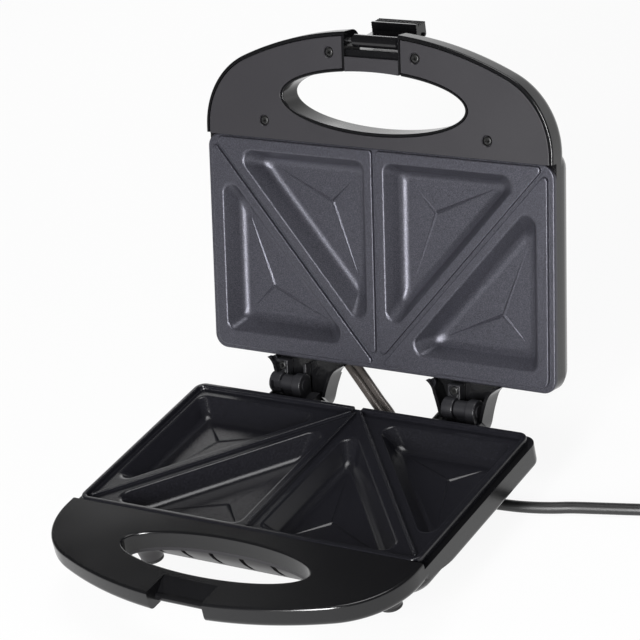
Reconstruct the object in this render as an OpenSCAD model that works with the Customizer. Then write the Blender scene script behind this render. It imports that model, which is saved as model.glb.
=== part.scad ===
// Countertop sandwich toaster, open, with its lid leaning back on two rear hinges.
// Millimetres, +Z up. The origin is on the standing surface under the middle of the open
// toaster, the handles point to -Y and the hinges are at the back.
// Base pieces are drawn from the back edge and the top of the lower plate's lip.
// Lid pieces are drawn closed, from the back edge and the cooking face of the upper plate.

/* [Plates] */
// Width of the lower cooking plate over its lip
plate_w = 220; // [200:1:240]
// Depth of the lower cooking plate over its lip
plate_d = 124; // [110:1:140]
// Corner radius of the plates
plate_corner_r = 6; // [4:0.5:9]
// Thickness of the cast plates
plate_t = 2; // [1.6:0.1:2.6]
// Width of the lower plate's raised lip
lip_w = 3; // [2:0.1:4]
// Height of the lip above the cooking surface
lip_h = 2.5; // [1.5:0.1:3.5]
// Step from the upper plate's face back to its flange
flange_step = 2.5; // [1.5:0.1:3.5]
// How far the upper plate's flange stands out past its face
flange_w = 2.7; // [1.5:0.1:3]
// Depth of the triangular pockets
pocket_depth = 11; // [8:0.5:14]
// How far a pocket's sloping wall runs in from its edge to its floor
pocket_slope = 11; // [8:0.5:13]
// Radius of the pockets' corners at the surface
pocket_r = 4.5; // [3:0.5:6]
// Flat border between the pockets and the plate's front and back edges
border_y = 8.5; // [7:0.5:12]
// Flat border between the pockets and the plate's sides
border_x = 6; // [5:0.5:9]
// Flat land between a pocket and the middle of a dividing line
border_divider = 5.5; // [4.5:0.5:8]
// Width of the sealing ribs on the dividing lines
rib_w = 2.4; // [1.6:0.1:3]
// Height of the sealing ribs above the cooking surface
rib_h = 1.8; // [1:0.1:2.4]
// Gap between the two plates when the lid is closed
plate_gap = 1; // [0.5:0.1:2]

/* [Case] */
// How far the case reaches past the lower plate at each side
case_side = 3.5; // [3:0.5:6]
// How far the case reaches behind the plates
case_back = 3; // [2:0.5:6]
// Radius of the case's rear corners
case_corner_r = 9; // [6:0.5:14]
// Wall thickness of the mouldings
wall = 2.5; // [2:0.1:3]
// Depth of the case rim below the face of its plate
rim_drop = 4.5; // [4.5:0.1:6]
// Height of the lower housing's side wall below its rim
side_h = 13; // [11:0.5:16]
// Height of the lower plate's lip above the standing surface
seam_h = 43; // [40:1:50]
// Height of the feet under the pan
foot_h = 10.5; // [10:0.5:14]
// Height of the lid's crown above its plate's face
lid_h = 38; // [36:1:50]

/* [Handles] */
// How far the handles reach in front of the plates
handle_d = 66.5; // [62:0.5:75]
// Radius of the handles' outer corners
handle_corner_r = 47; // [40:1:52]
// Radius of the handles' curved front edge
handle_front_r = 210; // [180:5:300]
// Thickness of the lower handle
handle_t = 12; // [11:0.5:15]
// Thickness of the upper handle
lid_handle_t = 16.5; // [15:0.5:20]
// How far the handle faces stay behind the parting plane
handle_relief = 0.5; // [0.3:0.1:1]
// Length of the oval finger opening
grip_w = 119; // [100:1:125]
// Width of the oval finger opening
grip_h = 34; // [28:1:36]
// Distance of the finger opening's middle in front of the plates
grip_y = 27; // [25:0.5:30]
// Width of the latch notch in both handles
notch_w = 35; // [33:0.5:40]
// Gap round the upper handle's inner cover
cover_gap = 0.4; // [0.2:0.1:0.6]
// Width of the shell's edge that shows round the cover
cover_edge = 2; // [1.6:0.1:2.6]

/* [Hinge] */
// Angle between the plates with the lid open
open_angle = 107; // [90:1:110]
// Distance of the hinge axis behind the plates
hinge_back = 16.6; // [16:0.2:20]
// Depth of the hinge axis below the lower plate's lip
hinge_drop = 3.1; // [2:0.1:4]
// Distance of each hinge's middle from the centre plane
hinge_x = 57.7; // [45:0.5:75]
// Length of each hinge over its knuckles
hinge_len = 21.4; // [20:0.2:26]
// Radius of the hinge pins
hinge_pin_r = 2; // [1.5:0.1:2.5]
// Radius of the lid's knuckles
knuckle_r = 6.2; // [5.5:0.1:6.6]
// Running clearance between pins and bores
pin_gap = 0.05; // [0.02:0.01:0.1]

/* [Latch] */
// Width of the latch
latch_w = 30; // [26:0.5:32]
// Distance of the latch's pivot behind the handle's front edge
latch_pivot_in = 6.5; // [6:0.1:8]
// Height of the latch's pivot above the upper plate's face
latch_pivot_z = 7; // [6:0.1:8]
// Angle that the latch swings from its hooked place to its open stop
latch_swing = 170; // [150:1:175]
// Radius of the latch's barrel
latch_barrel_r = 3.6; // [3:0.1:4]
// Radius of the latch's pin
latch_pin_r = 1.5; // [1.2:0.1:1.8]
// Radius of the catch bar in the lower handle
catch_r = 2.2; // [1.8:0.1:2.4]
// Clearance of the hook under the catch bar
catch_gap = 0.4; // [0.3:0.1:0.8]
// Length of the ridged finger tip past the hook
latch_tip = 7; // [4:0.5:9]

/* [Heating] */
// Radius of the tubular heating elements
heater_r = 3; // [2.5:0.1:3.5]
// Thickness of the heat shields
shield_t = 0.8; // [0.6:0.1:1.2]
// Radius of the posts that carry the heat shields
post_r = 3; // [2.6:0.1:3.4]

/* [Cord] */
// Diameter of the mains cord
cord_d = 6.5; // [6:0.1:7]
// Width of the cord coil between the middles of its turns
coil_w = 70; // [65:1:78]

/* [Hidden] */
$fn = 48;

// Self-tapping screws: radius of shank, head and head's height
screw_r = 1.2;
screw_head_r = 2.5;
screw_head_h = 1;
bore_r = screw_r + 0.05;
free_r = screw_r + 0.2;
handle_screw_len = 7;
bracket_screw_len = 7;
shield_screw_len = 8;

// ---- derived sizes ----
gap = 0.3;
seam_gap = 0.4;
half_plate = plate_w / 2;
case_w = plate_w + 2 * case_side;
half_case = case_w / 2;
front_y = -(plate_d + handle_d);
grip_mid_y = -(plate_d + grip_y);
handle_back_y = -(plate_d + gap);
hinge_axis_z = -hinge_drop;
lid_hinge_z = -(hinge_drop + plate_gap);
latch_y = front_y + latch_pivot_in;
catch_y = latch_y + 2.5;
catch_z = -handle_relief - 7.5;
hook_len = latch_pivot_z + plate_gap - catch_z + catch_r + catch_gap;
hook_t = 3.2;
tip_z = -(hook_len + hook_t + latch_tip);
latch_len = -tip_z;

// Distance of a lid point behind the plates' back edge, with the lid open
function lid_reach(y, z) = hinge_back + (y - hinge_back) * cos(open_angle)
    + (z - lid_hinge_z) * sin(open_angle);
latch_reach = lid_reach(
    latch_y - latch_len * sin(latch_swing),
    latch_pivot_z - latch_len * cos(latch_swing));
plate_y = -(front_y + latch_reach) / 2;

// ---- outlines ----
function arc(cx, cy, r, a0, a1, n) =
    [for (i = [0:n]) let (a = a0 + (a1 - a0) * i / n) [cx + r * cos(a), cy + r * sin(a)]];

// A rectangle with rounded corners, drawn in by d
function box_outline(x, y0, y1, r, d) = let (q = max(r - d, 0.4), e = d + q) concat(
    arc(x - e, y0 + e, q, 270, 360, 6),
    arc(x - e, y1 - e, q, 0, 90, 6),
    arc(-x + e, y1 - e, q, 90, 180, 6),
    arc(-x + e, y0 + e, q, 180, 270, 6));

// The case with its curved handle, drawn in by d
corner_x = half_case - handle_corner_r;
front_mid_y = front_y + handle_front_r;
front_sweep = asin(corner_x / (handle_front_r - handle_corner_r));
corner_y = front_mid_y - (handle_front_r - handle_corner_r) * cos(front_sweep);
function case_outline(d) = let (q = max(case_corner_r - d, 0.4), e = d + q) concat(
    arc(0, front_mid_y, handle_front_r - d, 270 - front_sweep, 269.9 + front_sweep, 14),
    arc(corner_x, corner_y, handle_corner_r - d, 270 + front_sweep, 360, 10),
    arc(half_case - e, case_back - e, q, 0, 90, 5),
    arc(-half_case + e, case_back - e, q, 90, 180, 5),
    arc(-corner_x, corner_y, handle_corner_r - d, 180, 269.9 - front_sweep, 10));

function grip_outline(d) = [for (i = [0:59]) let (a = 6 * i)
    [(grip_w / 2 + d) * cos(a), grip_mid_y + (grip_h / 2 + d) * sin(a)]];

function at_height(outline, z) = [for (p = outline) [p[0], p[1], z]];

// A triangle drawn in by d, with its corners rounded to r
function side_length(a, b) = norm(b - a);
function inner_centre(t) = (t[0] * side_length(t[1], t[2]) + t[1] * side_length(t[2], t[0])
    + t[2] * side_length(t[0], t[1]))
    / (side_length(t[0], t[1]) + side_length(t[1], t[2]) + side_length(t[2], t[0]));
function twice_area(t) = (t[1][0] - t[0][0]) * (t[2][1] - t[0][1])
    - (t[2][0] - t[0][0]) * (t[1][1] - t[0][1]);
function inner_radius(t) = twice_area(t)
    / (side_length(t[0], t[1]) + side_length(t[1], t[2]) + side_length(t[2], t[0]));
function outward_angle(a, b) = atan2(a[0] - b[0], b[1] - a[1]);
function turned_after(a, b) = b < a ? b + 360 : b;
function triangle_outline(t, d, r) = let (c = inner_centre(t), k = 1 - (d + r) / inner_radius(t))
    [for (i = [0:2])
        let (p = c + (t[i] - c) * k,
            a0 = outward_angle(t[(i + 2) % 3], t[i]),
            a1 = turned_after(a0, outward_angle(t[i], t[(i + 1) % 3])))
        for (j = [0:5]) let (a = a0 + (a1 - a0) * j / 5) [p[0] + r * cos(a), p[1] + r * sin(a)]];

// A solid through rings of points of the same number, lowest ring first
module loft(rings) {
    n = len(rings[0]);
    top = len(rings) - 1;
    polyhedron(
        points = [for (ring = rings) for (p = ring) p],
        faces = concat(
            [[for (i = [0:n - 1]) i]],
            [for (j = [0:top - 1]) for (i = [0:n - 1])
                [j * n + i, (j + 1) * n + i, (j + 1) * n + (i + 1) % n]],
            [for (j = [0:top - 1]) for (i = [0:n - 1])
                [j * n + i, (j + 1) * n + (i + 1) % n, j * n + (i + 1) % n]],
            [[for (i = [n - 1:-1:0]) top * n + i]]));
}

// A round tube through a row of points, made with rings square to its run
function unit(v) = v / norm(v);
function run_at(p, i) = unit(p[min(i + 1, len(p) - 1)] - p[max(i - 1, 0)]);
function ring_at(c, run, r, n) = let (
    side = unit(cross(abs(run[2]) > 0.9 ? [1, 0, 0] : [0, 0, 1], run)),
    up = cross(run, side))
    [for (k = [0:n - 1]) let (a = -360 * (k + 0.5) / n) c + r * (side * cos(a) + up * sin(a))];
module tube(points, r, sides = 10) {
    loft([for (i = [len(points) - 1:-1:0]) ring_at(points[i], run_at(points, i), r, sides)]);
}

// A smooth run through a few guide points, with n steps between each two
function spline_point(a, b, c, d, t) = 0.5 * ((2 * b) + (c - a) * t
    + (2 * a - 5 * b + 4 * c - d) * t * t + (3 * b - a - 3 * c + d) * t * t * t);
function smooth_run(p, n) = let (m = len(p) - 1) concat(
    [for (i = [0:m - 1]) for (j = [0:n - 1])
        spline_point(p[max(i - 1, 0)], p[i], p[i + 1], p[min(i + 2, m)], j / n)],
    [p[m]]);

// ---- places ----
module in_base() {
    translate([0, plate_y, seam_h]) children();
}
module in_lid() {
    translate([0, plate_y + hinge_back, seam_h - hinge_drop])
        rotate([-open_angle, 0, 0])
            translate([0, -hinge_back, hinge_drop + plate_gap]) children();
}
module in_latch() {
    in_lid() translate([0, latch_y, latch_pivot_z]) rotate([-latch_swing, 0, 0]) children();
}
module along_x(x0, x1, y, z, r) {
    translate([x0, y, z]) rotate([0, 90, 0]) cylinder(r = r, h = x1 - x0);
}
module slab(outline, z0, z1) {
    translate([0, 0, z0]) linear_extrude(z1 - z0) polygon(outline);
}
module side_profile(points, x0, x1) {
    translate([x0, 0, 0]) rotate([90, 0, 90]) linear_extrude(x1 - x0) polygon(points);
}
// A pan-head screw standing at the origin with its head below and its tip up
module screw(r, length, head_r, head_h) {
    difference() {
        union() {
            cylinder(r = r, h = length);
            translate([0, 0, -head_h]) cylinder(r = head_r, h = head_h);
        }
        for (a = [0, 90]) {
            rotate([0, 0, a]) translate([-head_r * 0.6, -0.35, -head_h - 1])
                cube([head_r * 1.2, 0.7, 1 + head_h / 2]);
        }
    }
}

// ---- cooking plates ----
divider_ends = [[-half_plate, -plate_d], [0, -plate_d], [half_plate, -plate_d]];
// The four triangles between the outer borders and the dividing lines
function pocket_triangles() = let (
    x = half_plate - border_x,
    back = -border_y,
    front = -plate_d + border_y,
    slope = half_plate / plate_d,
    shift = border_divider * sqrt(1 + slope * slope))
    [for (side = [-1, 1]) each [
        [[side * x, back], [side * x, -(x - shift) / slope],
            [side * (-back * slope + shift), back]],
        [[side * border_divider, front], [side * border_divider,
            -(border_divider + shift) / slope],
            [side * (-front * slope - shift), front]]]];
function counter_clockwise(t) = twice_area(t) > 0 ? t : [t[0], t[2], t[1]];
// How far in from its edge a pocket's wall is at each share of the depth
pocket_profile = [[0, 0], [0.08, 0.1], [0.82, 0.72], [0.95, 0.88], [1, 1]];

// One pocket's hollow, or with grow > 0 the bowl round it; up is -1 when it opens upwards
module pocket(t, up, grow) {
    rings = [for (p = pocket_profile) at_height(
        triangle_outline(t, p[1] * pocket_slope - grow, pocket_r + grow),
        up * (p[0] * pocket_depth + (p[0] > 0.5 ? grow : 0)))];
    mouth = at_height(triangle_outline(t, -grow, pocket_r + grow), -up * (grow > 0 ? 0 : 1));
    all = grow > 0 ? rings : concat([mouth], [for (i = [1:len(rings) - 1]) rings[i]]);
    loft(up > 0 ? all : [for (i = [len(all) - 1:-1:0]) all[i]]);
}
// The raised three-armed mark on a pocket's floor
module pocket_mark(t, z) {
    c = inner_centre(t);
    for (i = [0:2]) {
        v = t[i] - c;
        reach = norm(v) - pocket_slope - 14;
        translate([c[0], c[1], z]) rotate([0, 0, atan2(v[1], v[0])])
            translate([0, -0.6, -0.6]) cube([min(reach, 26), 1.2, 1.2]);
    }
}
// The bars along the dividing lines, as a flat outline
module divider_bars(width, end_gap) {
    for (end = divider_ends)
        rotate(atan2(end[1], end[0]))
            translate([end_gap, -width / 2]) square([norm(end) - 2 * end_gap, width]);
}
divider_posts = [for (side = [-1, 1]) each [
    [side * half_plate * 0.86, -plate_d * 0.86], [side * half_plate * 0.13, -plate_d * 0.13]]];
plate_screw_x = half_plate - 2;
plate_screw_y = [-20, 20 - plate_d];
surface_z = -lip_h;
lip_inside = box_outline(half_plate, -plate_d, 0, plate_corner_r, lip_w);
bowl_z = lip_h + pocket_depth + plate_t;

module base_plate() color([0.20, 0.20, 0.23]) in_base() difference() {
    union() {
        slab(box_outline(half_plate, -plate_d, 0, plate_corner_r, 0), -rim_drop, 0);
        translate([0, 0, surface_z]) for (t = pocket_triangles())
            pocket(counter_clockwise(t), -1, plate_t);
        for (p = divider_posts)
            translate([p[0], p[1], -bowl_z - heater_r * 2 - 0.2])
                cylinder(r = post_r, h = bowl_z + heater_r * 2 - lip_h);
    }
    translate([0, 0, surface_z]) linear_extrude(lip_h + 1) difference() {
        polygon(lip_inside);
        divider_bars(rib_w, 1);
    }
    slab(lip_inside, surface_z + rib_h, 1);
    difference() {
        translate([0, 0, surface_z]) for (t = pocket_triangles())
            pocket(counter_clockwise(t), -1, 0);
        for (t = pocket_triangles())
            pocket_mark(counter_clockwise(t), surface_z - pocket_depth);
    }
    for (p = divider_posts)
        translate([p[0], p[1], -bowl_z - heater_r * 2 - 1])
            cylinder(r = bore_r, h = shield_screw_len + 2);
    for (side = [-1, 1]) for (y = plate_screw_y)
        translate([side * plate_screw_x, y, -rim_drop - 1])
            cylinder(r = bore_r, h = rim_drop - lip_h + 0.7);
}

module lid_plate() color([0.24, 0.24, 0.27]) in_lid() difference() {
    union() {
        slab(box_outline(half_plate, -plate_d, 0, plate_corner_r, 0), 0, rim_drop);
        slab(box_outline(half_plate + flange_w, -plate_d - seam_gap, flange_w,
            plate_corner_r, 0), flange_step, rim_drop);
        for (t = pocket_triangles())
            pocket(counter_clockwise(t), 1, plate_t);
        for (p = divider_posts)
            translate([p[0], p[1], 1])
                cylinder(r = post_r, h = pocket_depth + plate_t + heater_r * 2 + 0.2 - 1);
    }
    difference() {
        for (t = pocket_triangles())
            pocket(counter_clockwise(t), 1, 0);
        for (t = pocket_triangles())
            pocket_mark(counter_clockwise(t), pocket_depth);
    }
    translate([0, 0, -1]) linear_extrude(rib_h + 1.2) divider_bars(rib_w + 0.8, 1);
    for (p = divider_posts)
        translate([p[0], p[1], lid_shield_z + 0.7 - shield_screw_len])
            cylinder(r = bore_r, h = shield_screw_len + 2);
    for (side = [-1, 1]) for (y = plate_screw_y)
        translate([side * plate_screw_x, y, rim_drop - 2.2]) cylinder(r = bore_r, h = 3);
    difference() {
        slab(box_outline(half_plate, -plate_d, 0, plate_corner_r, lip_w + 1), plate_t + 1,
            rim_drop + 1);
        for (t = pocket_triangles())
            pocket(counter_clockwise(t), 1, plate_t);
        for (p = divider_posts) translate([p[0], p[1], 0]) cylinder(r = post_r, h = 20);
        for (side = [-1, 1]) for (y = plate_screw_y)
            translate([side * plate_screw_x, y, 0]) cylinder(r = 4, h = 20);
    }
}

// ---- heating ----
heater_x = half_plate * 0.66;
heater_front_y = -plate_d * 0.8;
heater_back_y = -plate_d * 0.24;
heater_bend = 14;
heater_tail_x = 16;
tab_x = 8;
module quarter_bend(x, y, a) {
    translate([x, y, 0]) rotate([0, 0, a]) rotate_extrude(angle = 90)
        translate([heater_bend, 0]) circle(r = heater_r);
}
module rod(p, q) {
    v = q - p;
    translate([p[0], p[1], 0]) rotate([0, 0, atan2(v[1], v[0])]) rotate([0, 90, 0])
        cylinder(r = heater_r, h = norm(v));
}
// A rod bent round under the pockets, with its two cold ends at the back
module heater() {
    b = heater_bend;
    x = heater_x;
    rod([-x + b, heater_front_y], [x - b, heater_front_y]);
    for (side = [-1, 1]) {
        rod([side * x, heater_front_y + b], [side * x, heater_back_y - b]);
        rod([side * (x - b), heater_back_y], [side * heater_tail_x, heater_back_y]);
    }
    quarter_bend(x - b, heater_front_y + b, 270);
    quarter_bend(-x + b, heater_front_y + b, 180);
    quarter_bend(x - b, heater_back_y - b, 0);
    quarter_bend(-x + b, heater_back_y - b, 90);
    for (side = [-1, 1])
        translate([side > 0 ? tab_x : -heater_tail_x, heater_back_y - 2.5, -0.4])
            cube([heater_tail_x - tab_x, 5, 0.8]);
}
base_heater_z = -bowl_z - 0.1 - heater_r;
lid_heater_z = pocket_depth + plate_t + 0.1 + heater_r;
module base_heating_element() color([0.45, 0.45, 0.47])
    in_base() translate([0, 0, base_heater_z]) heater();
module lid_heating_element() color([0.45, 0.45, 0.47])
    in_lid() translate([0, 0, lid_heater_z]) heater();

shield_in = 8.5;
shield_x = half_plate - shield_in;
stat_r = 8;
stat_h = 8.5;
module shield(z) {
    difference() {
        slab(box_outline(shield_x, -plate_d + shield_in, -shield_in, shield_in, 0),
            z, z + shield_t);
        for (p = divider_posts)
            translate([p[0], p[1], z - 1]) cylinder(r = free_r, h = shield_t + 2);
        translate([-tab_x, heater_back_y - 4, z - 1]) cube([2 * tab_x, 8, shield_t + 2]);
        children();
    }
}
thermostat_place = inner_centre(pocket_triangles()[1]);
base_shield_z = base_heater_z - heater_r - 0.1 - shield_t;
lid_shield_z = lid_heater_z + heater_r + 0.1;
module base_heat_shield() color([0.72, 0.73, 0.74]) in_base() shield(base_shield_z)
    translate([thermostat_place[0], thermostat_place[1], base_shield_z - 1])
        cylinder(r = stat_r + 0.5, h = shield_t + 2);
module lid_heat_shield() color([0.72, 0.73, 0.74]) in_lid() shield(lid_shield_z);
module base_shield_screws() color([0.6, 0.6, 0.6]) in_base()
    for (p = divider_posts) translate([p[0], p[1], base_shield_z])
        screw(screw_r, shield_screw_len, screw_head_r, screw_head_h);
module lid_shield_screws() color([0.6, 0.6, 0.6]) in_lid()
    for (p = divider_posts)
        translate([p[0], p[1], lid_shield_z + shield_t]) rotate([180, 0, 0])
            screw(screw_r, shield_screw_len, screw_head_r, screw_head_h);
module base_plate_screws() color([0.6, 0.6, 0.6]) in_base()
    for (side = [-1, 1]) for (y = plate_screw_y)
        translate([side * plate_screw_x, y, -rim_drop - wall])
            screw(screw_r, wall + 1.5, screw_head_r, screw_head_h);
module lid_plate_screws() color([0.6, 0.6, 0.6]) in_lid()
    for (side = [-1, 1]) for (y = plate_screw_y)
        translate([side * plate_screw_x, y, rim_drop + wall]) rotate([180, 0, 0])
            screw(screw_r, wall + 1.6, screw_head_r, screw_head_h);

// ---- base case ----
rim_z = -rim_drop;
ledge_z = rim_z - wall;
wall_low_z = rim_z - side_h;
base_handle_z = -handle_relief - handle_t;
floor_z = -seam_h;
pan_low_z = floor_z + foot_h;
ledge_x = half_plate - 5;
ledge_y0 = -plate_d + 4;
ledge_y1 = -4;
case_in_x = half_case - wall;
case_in_back = case_back - wall;
bridge_y = -(plate_d + 6);
notch_x = notch_w / 2;
lid_notch_y = latch_y + 8.3;
base_notch_y = latch_y + 11.5;
handle_screw_places = [for (side = [-1, 1]) each [
    [side * half_case * 0.643, -plate_d - handle_d * 0.173],
    [side * notch_w * 0.8, -plate_d - handle_d * 0.805]]];
handle_boss_r = 3.2;
pan_screw_x = half_case - 6;
pan_screw_y = [-45, -85];
shelf_x = hinge_x - 2.7;
bracket_screw_x = 16;
sleeve_lid_x = -24;
sleeve_base_x = 15;

module grip_ring(z0, z1) {
    slab(grip_outline(wall), z0, z1);
}
module notch_walls(notch_y, z0, z1) {
    translate([-notch_x - wall, front_y - 1, z0])
        cube([notch_w + 2 * wall, notch_y + wall - front_y + 1, z1 - z0]);
}
module handle_bosses(z0, z1) {
    for (p = handle_screw_places)
        translate([p[0], p[1], z0]) cylinder(r = handle_boss_r, h = z1 - z0);
}

module base_housing() color([0.05, 0.05, 0.055]) in_base() difference() {
    union() {
        difference() {
            loft([
                at_height(case_outline(4), base_handle_z),
                at_height(case_outline(1.5), base_handle_z + 2),
                at_height(case_outline(0.3), base_handle_z + 4.5),
                at_height(case_outline(0), -handle_relief - 1.5),
                at_height(case_outline(1.5), -handle_relief)]);
            translate([-half_case - 1, handle_back_y, rim_z])
                cube([case_w + 2, plate_d + case_back + 10, handle_t * 2]);
        }
        intersection() {
            loft([
                at_height(box_outline(half_case, bridge_y, case_back, case_corner_r, 3),
                    wall_low_z - 0.5),
                at_height(box_outline(half_case, bridge_y, case_back, case_corner_r, 0.8),
                    wall_low_z + 2),
                at_height(box_outline(half_case, bridge_y, case_back, case_corner_r, 0),
                    wall_low_z + 4.5),
                at_height(box_outline(half_case, bridge_y, case_back, case_corner_r, 0),
                    rim_z)]);
            side_profile([[-plate_d, rim_z], [-plate_d, base_handle_z + 0.5],
                [-plate_d + 36, wall_low_z], [case_back + 1, wall_low_z],
                [case_back + 1, rim_z]], -half_case - 1, half_case + 1);
        }
    }
    // Space under the plate's ledge
    slab(box_outline(case_in_x, bridge_y + wall, case_in_back, case_corner_r - wall, 0),
        wall_low_z - 2, ledge_z);
    slab(box_outline(ledge_x, ledge_y0, ledge_y1, 4, 0), ledge_z - 1, rim_z + 1);
    // Hollow handle, closed from below by its cover
    difference() {
        intersection() {
            slab(case_outline(4.7), base_handle_z - 1, -handle_relief - wall);
            translate([-half_case, front_y, base_handle_z - 1])
                cube([case_w, bridge_y - front_y, handle_t + 1]);
        }
        grip_ring(base_handle_z + 2, 0);
        notch_walls(base_notch_y, base_handle_z - 1, 0);
        handle_bosses(base_handle_z + 2, 0);
    }
    slab(grip_outline(0), base_handle_z - 1, 1);
    // Latch notch, with a sloping back that leaves the catch bar
    difference() {
        translate([-notch_x, front_y - 2, base_handle_z - 1])
            cube([notch_w, base_notch_y - front_y + 2, handle_t + 2]);
        side_profile([[base_notch_y + 1, -handle_relief - 0.8],
            [base_notch_y, -handle_relief - 0.8], [base_notch_y - 6, -handle_relief - 4.5],
            [catch_y + 0.6, catch_z + 1.9], [catch_y + 0.6, catch_z - 0.6],
            [base_notch_y - 4, base_handle_z], [base_notch_y + 1, base_handle_z]],
            -notch_x, notch_x);
        along_x(-notch_x, notch_x, catch_y, catch_z, catch_r);
    }
    for (p = handle_screw_places)
        translate([p[0], p[1], base_handle_z]) cylinder(r = bore_r, h = handle_t - wall + 1);
    for (side = [-1, 1]) for (y = plate_screw_y)
        translate([side * plate_screw_x, y, ledge_z - 1]) cylinder(r = 1.4, h = wall + 2);
    for (side = [-1, 1]) for (y = pan_screw_y)
        translate([side * pan_screw_x, y, ledge_z - 1]) cylinder(r = 1.4, h = wall + 0.6);
    for (side = [-1, 1]) for (x = [-1, 1])
        translate([side * shelf_x + x * bracket_screw_x, case_in_back + 0.3, -12])
            rotate([-90, 0, 0]) cylinder(r = bore_r + 0.1, h = 5);
    // Way out for the wire sleeves
    translate([sleeve_base_x - 6, case_in_back - 1, -15.5]) cube([12, wall + 2, 8]);
}

module base_handle_cover() color([0.06, 0.06, 0.065]) in_base() difference() {
    intersection() {
        slab(case_outline(5), base_handle_z, base_handle_z + 2);
        translate([-half_case, front_y, base_handle_z - 1])
            cube([case_w, bridge_y - front_y - gap, handle_t]);
    }
    slab(grip_outline(0), base_handle_z - 1, base_handle_z + 3);
    translate([0, -gap, 0]) notch_walls(base_notch_y, base_handle_z - 1, base_handle_z + 3);
    translate([0, gap, 0]) notch_walls(base_notch_y, base_handle_z - 1, base_handle_z + 3);
    for (p = handle_screw_places) {
        translate([p[0], p[1], base_handle_z - 1]) cylinder(r = free_r, h = 4);
        translate([p[0], p[1], base_handle_z - 1]) cylinder(r = screw_head_r + 0.4, h = 2);
    }
}
module base_handle_screws() color([0.5, 0.5, 0.5]) in_base()
    for (p = handle_screw_places)
        translate([p[0], p[1], base_handle_z + 1])
            screw(screw_r, handle_screw_len, screw_head_r, screw_head_h - 0.1);

// ---- pan and feet ----
pan_x = half_case - wall - 0.5;
foot_x = pan_x - 32.5;
foot_front_y = -plate_d + 12;
foot_back_y = -case_back;
foot_places = [for (side = [-1, 1]) each [
    [side * foot_x, foot_front_y], [side * foot_x, foot_back_y]]];
pad_t = 1.5;
pan_top_z = base_handle_z - gap;
pan_screw_seat_z = pan_top_z - 2;
vent_pitch = 20;
vent_w = 3;
outlet = [45, -17, floor_z + 5.3];
// Rings of the pan, from its floor up; inner rings are drawn in by the wall
function pan_rings(d) = [
    at_height(box_outline(pan_x - 19.5, bridge_y + 11, -0.5, 14, d), pan_low_z + d),
    at_height(box_outline(pan_x - 11, bridge_y + 7, -0.5, 14, d), pan_low_z + 4.5 + d * 0.5),
    at_height(box_outline(pan_x - 4, bridge_y + 2.5, -0.5, 14, d), pan_low_z + 10.5),
    at_height(box_outline(pan_x, bridge_y, case_in_back - gap, 14, d), pan_low_z + 15.5),
    at_height(box_outline(pan_x, bridge_y, case_in_back - gap, 14, d),
        pan_top_z + (d > 0 ? 1 : 0))];
module base_pan() color([0.07, 0.07, 0.075]) in_base() difference() {
    union() {
        difference() {
            loft(pan_rings(0));
            loft(pan_rings(wall));
        }
        intersection() {
            loft(pan_rings(0));
            for (side = [-1, 1]) for (y = pan_screw_y)
                translate([side * pan_screw_x, y, pan_low_z]) cylinder(r = 2.6, h = 30);
        }
        for (side = [-1, 1]) for (y = pan_screw_y)
            translate([side * pan_screw_x, y, pan_top_z - 1])
                cylinder(r = 2.6, h = ledge_z - gap - pan_top_z + 1);
        for (p = foot_places)
            translate([p[0], p[1], floor_z + pad_t])
                cylinder(r1 = 6.5, r2 = p[1] > -plate_d / 2 ? 8 : 9.5, h = foot_h + 2 - pad_t);
        translate([outlet[0] - 7, outlet[1] - 7, outlet[2] - 4.8])
            cube([12, 14, pan_low_z + wall - outlet[2] + 4.8]);
    }
    for (side = [-1, 1]) for (y = pan_screw_y) {
        translate([side * pan_screw_x, y, pan_low_z]) cylinder(r = 1.5, h = 40);
        translate([side * pan_screw_x, y, pan_low_z - 5])
            cylinder(r = 2.5, h = pan_screw_seat_z - pan_low_z + 5);
    }
    // Air slots down the sloping front wall and through the floor
    for (i = [-3:3])
        translate([i * vent_pitch - vent_w / 2, bridge_y - 1, pan_low_z + 3])
            cube([vent_w, 16, 13]);
    for (i = [-3:3]) for (side = [-1, 1])
        translate([i * 12 - 1.5, -plate_d / 2 - 10 + side * 22, pan_low_z - 1])
            cube([3, 20, wall + 2]);
    // Cord way and sleeve way
    along_x(outlet[0] - 2.5, outlet[0] + 6, outlet[1], outlet[2], 4);
    translate([outlet[0] - 2.5, outlet[1], outlet[2]]) cylinder(r = 3.5, h = 12);
    translate([sleeve_base_x - 7, -3, pan_top_z - 4]) cube([14, 5, 6]);
}
module pan_screws() color([0.5, 0.5, 0.5]) in_base()
    for (side = [-1, 1]) for (y = pan_screw_y)
        translate([side * pan_screw_x, y, pan_screw_seat_z])
            screw(1.35, rim_z - 0.5 - pan_screw_seat_z, 2.3, 1.6);
module foot_pads() color([0.02, 0.02, 0.02]) in_base()
    for (p = foot_places) translate([p[0], p[1], floor_z]) cylinder(r = 6.5, h = pad_t);

// ---- hinges ----
ring_x0 = -hinge_len / 2;
ring_x1 = ring_x0 + 7.2;
barrel_x0 = ring_x1 + 0.1;
disc_x0 = barrel_x0 + 8.4;
disc_x1 = hinge_len / 2;
barrel_r = knuckle_r - 1.2;
disc_r = knuckle_r + 0.3;
shelf_top_z = -hinge_drop - knuckle_r - 0.7;
shelf_t = 4;
shelf_end_y = hinge_back + 4.6;

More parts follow.
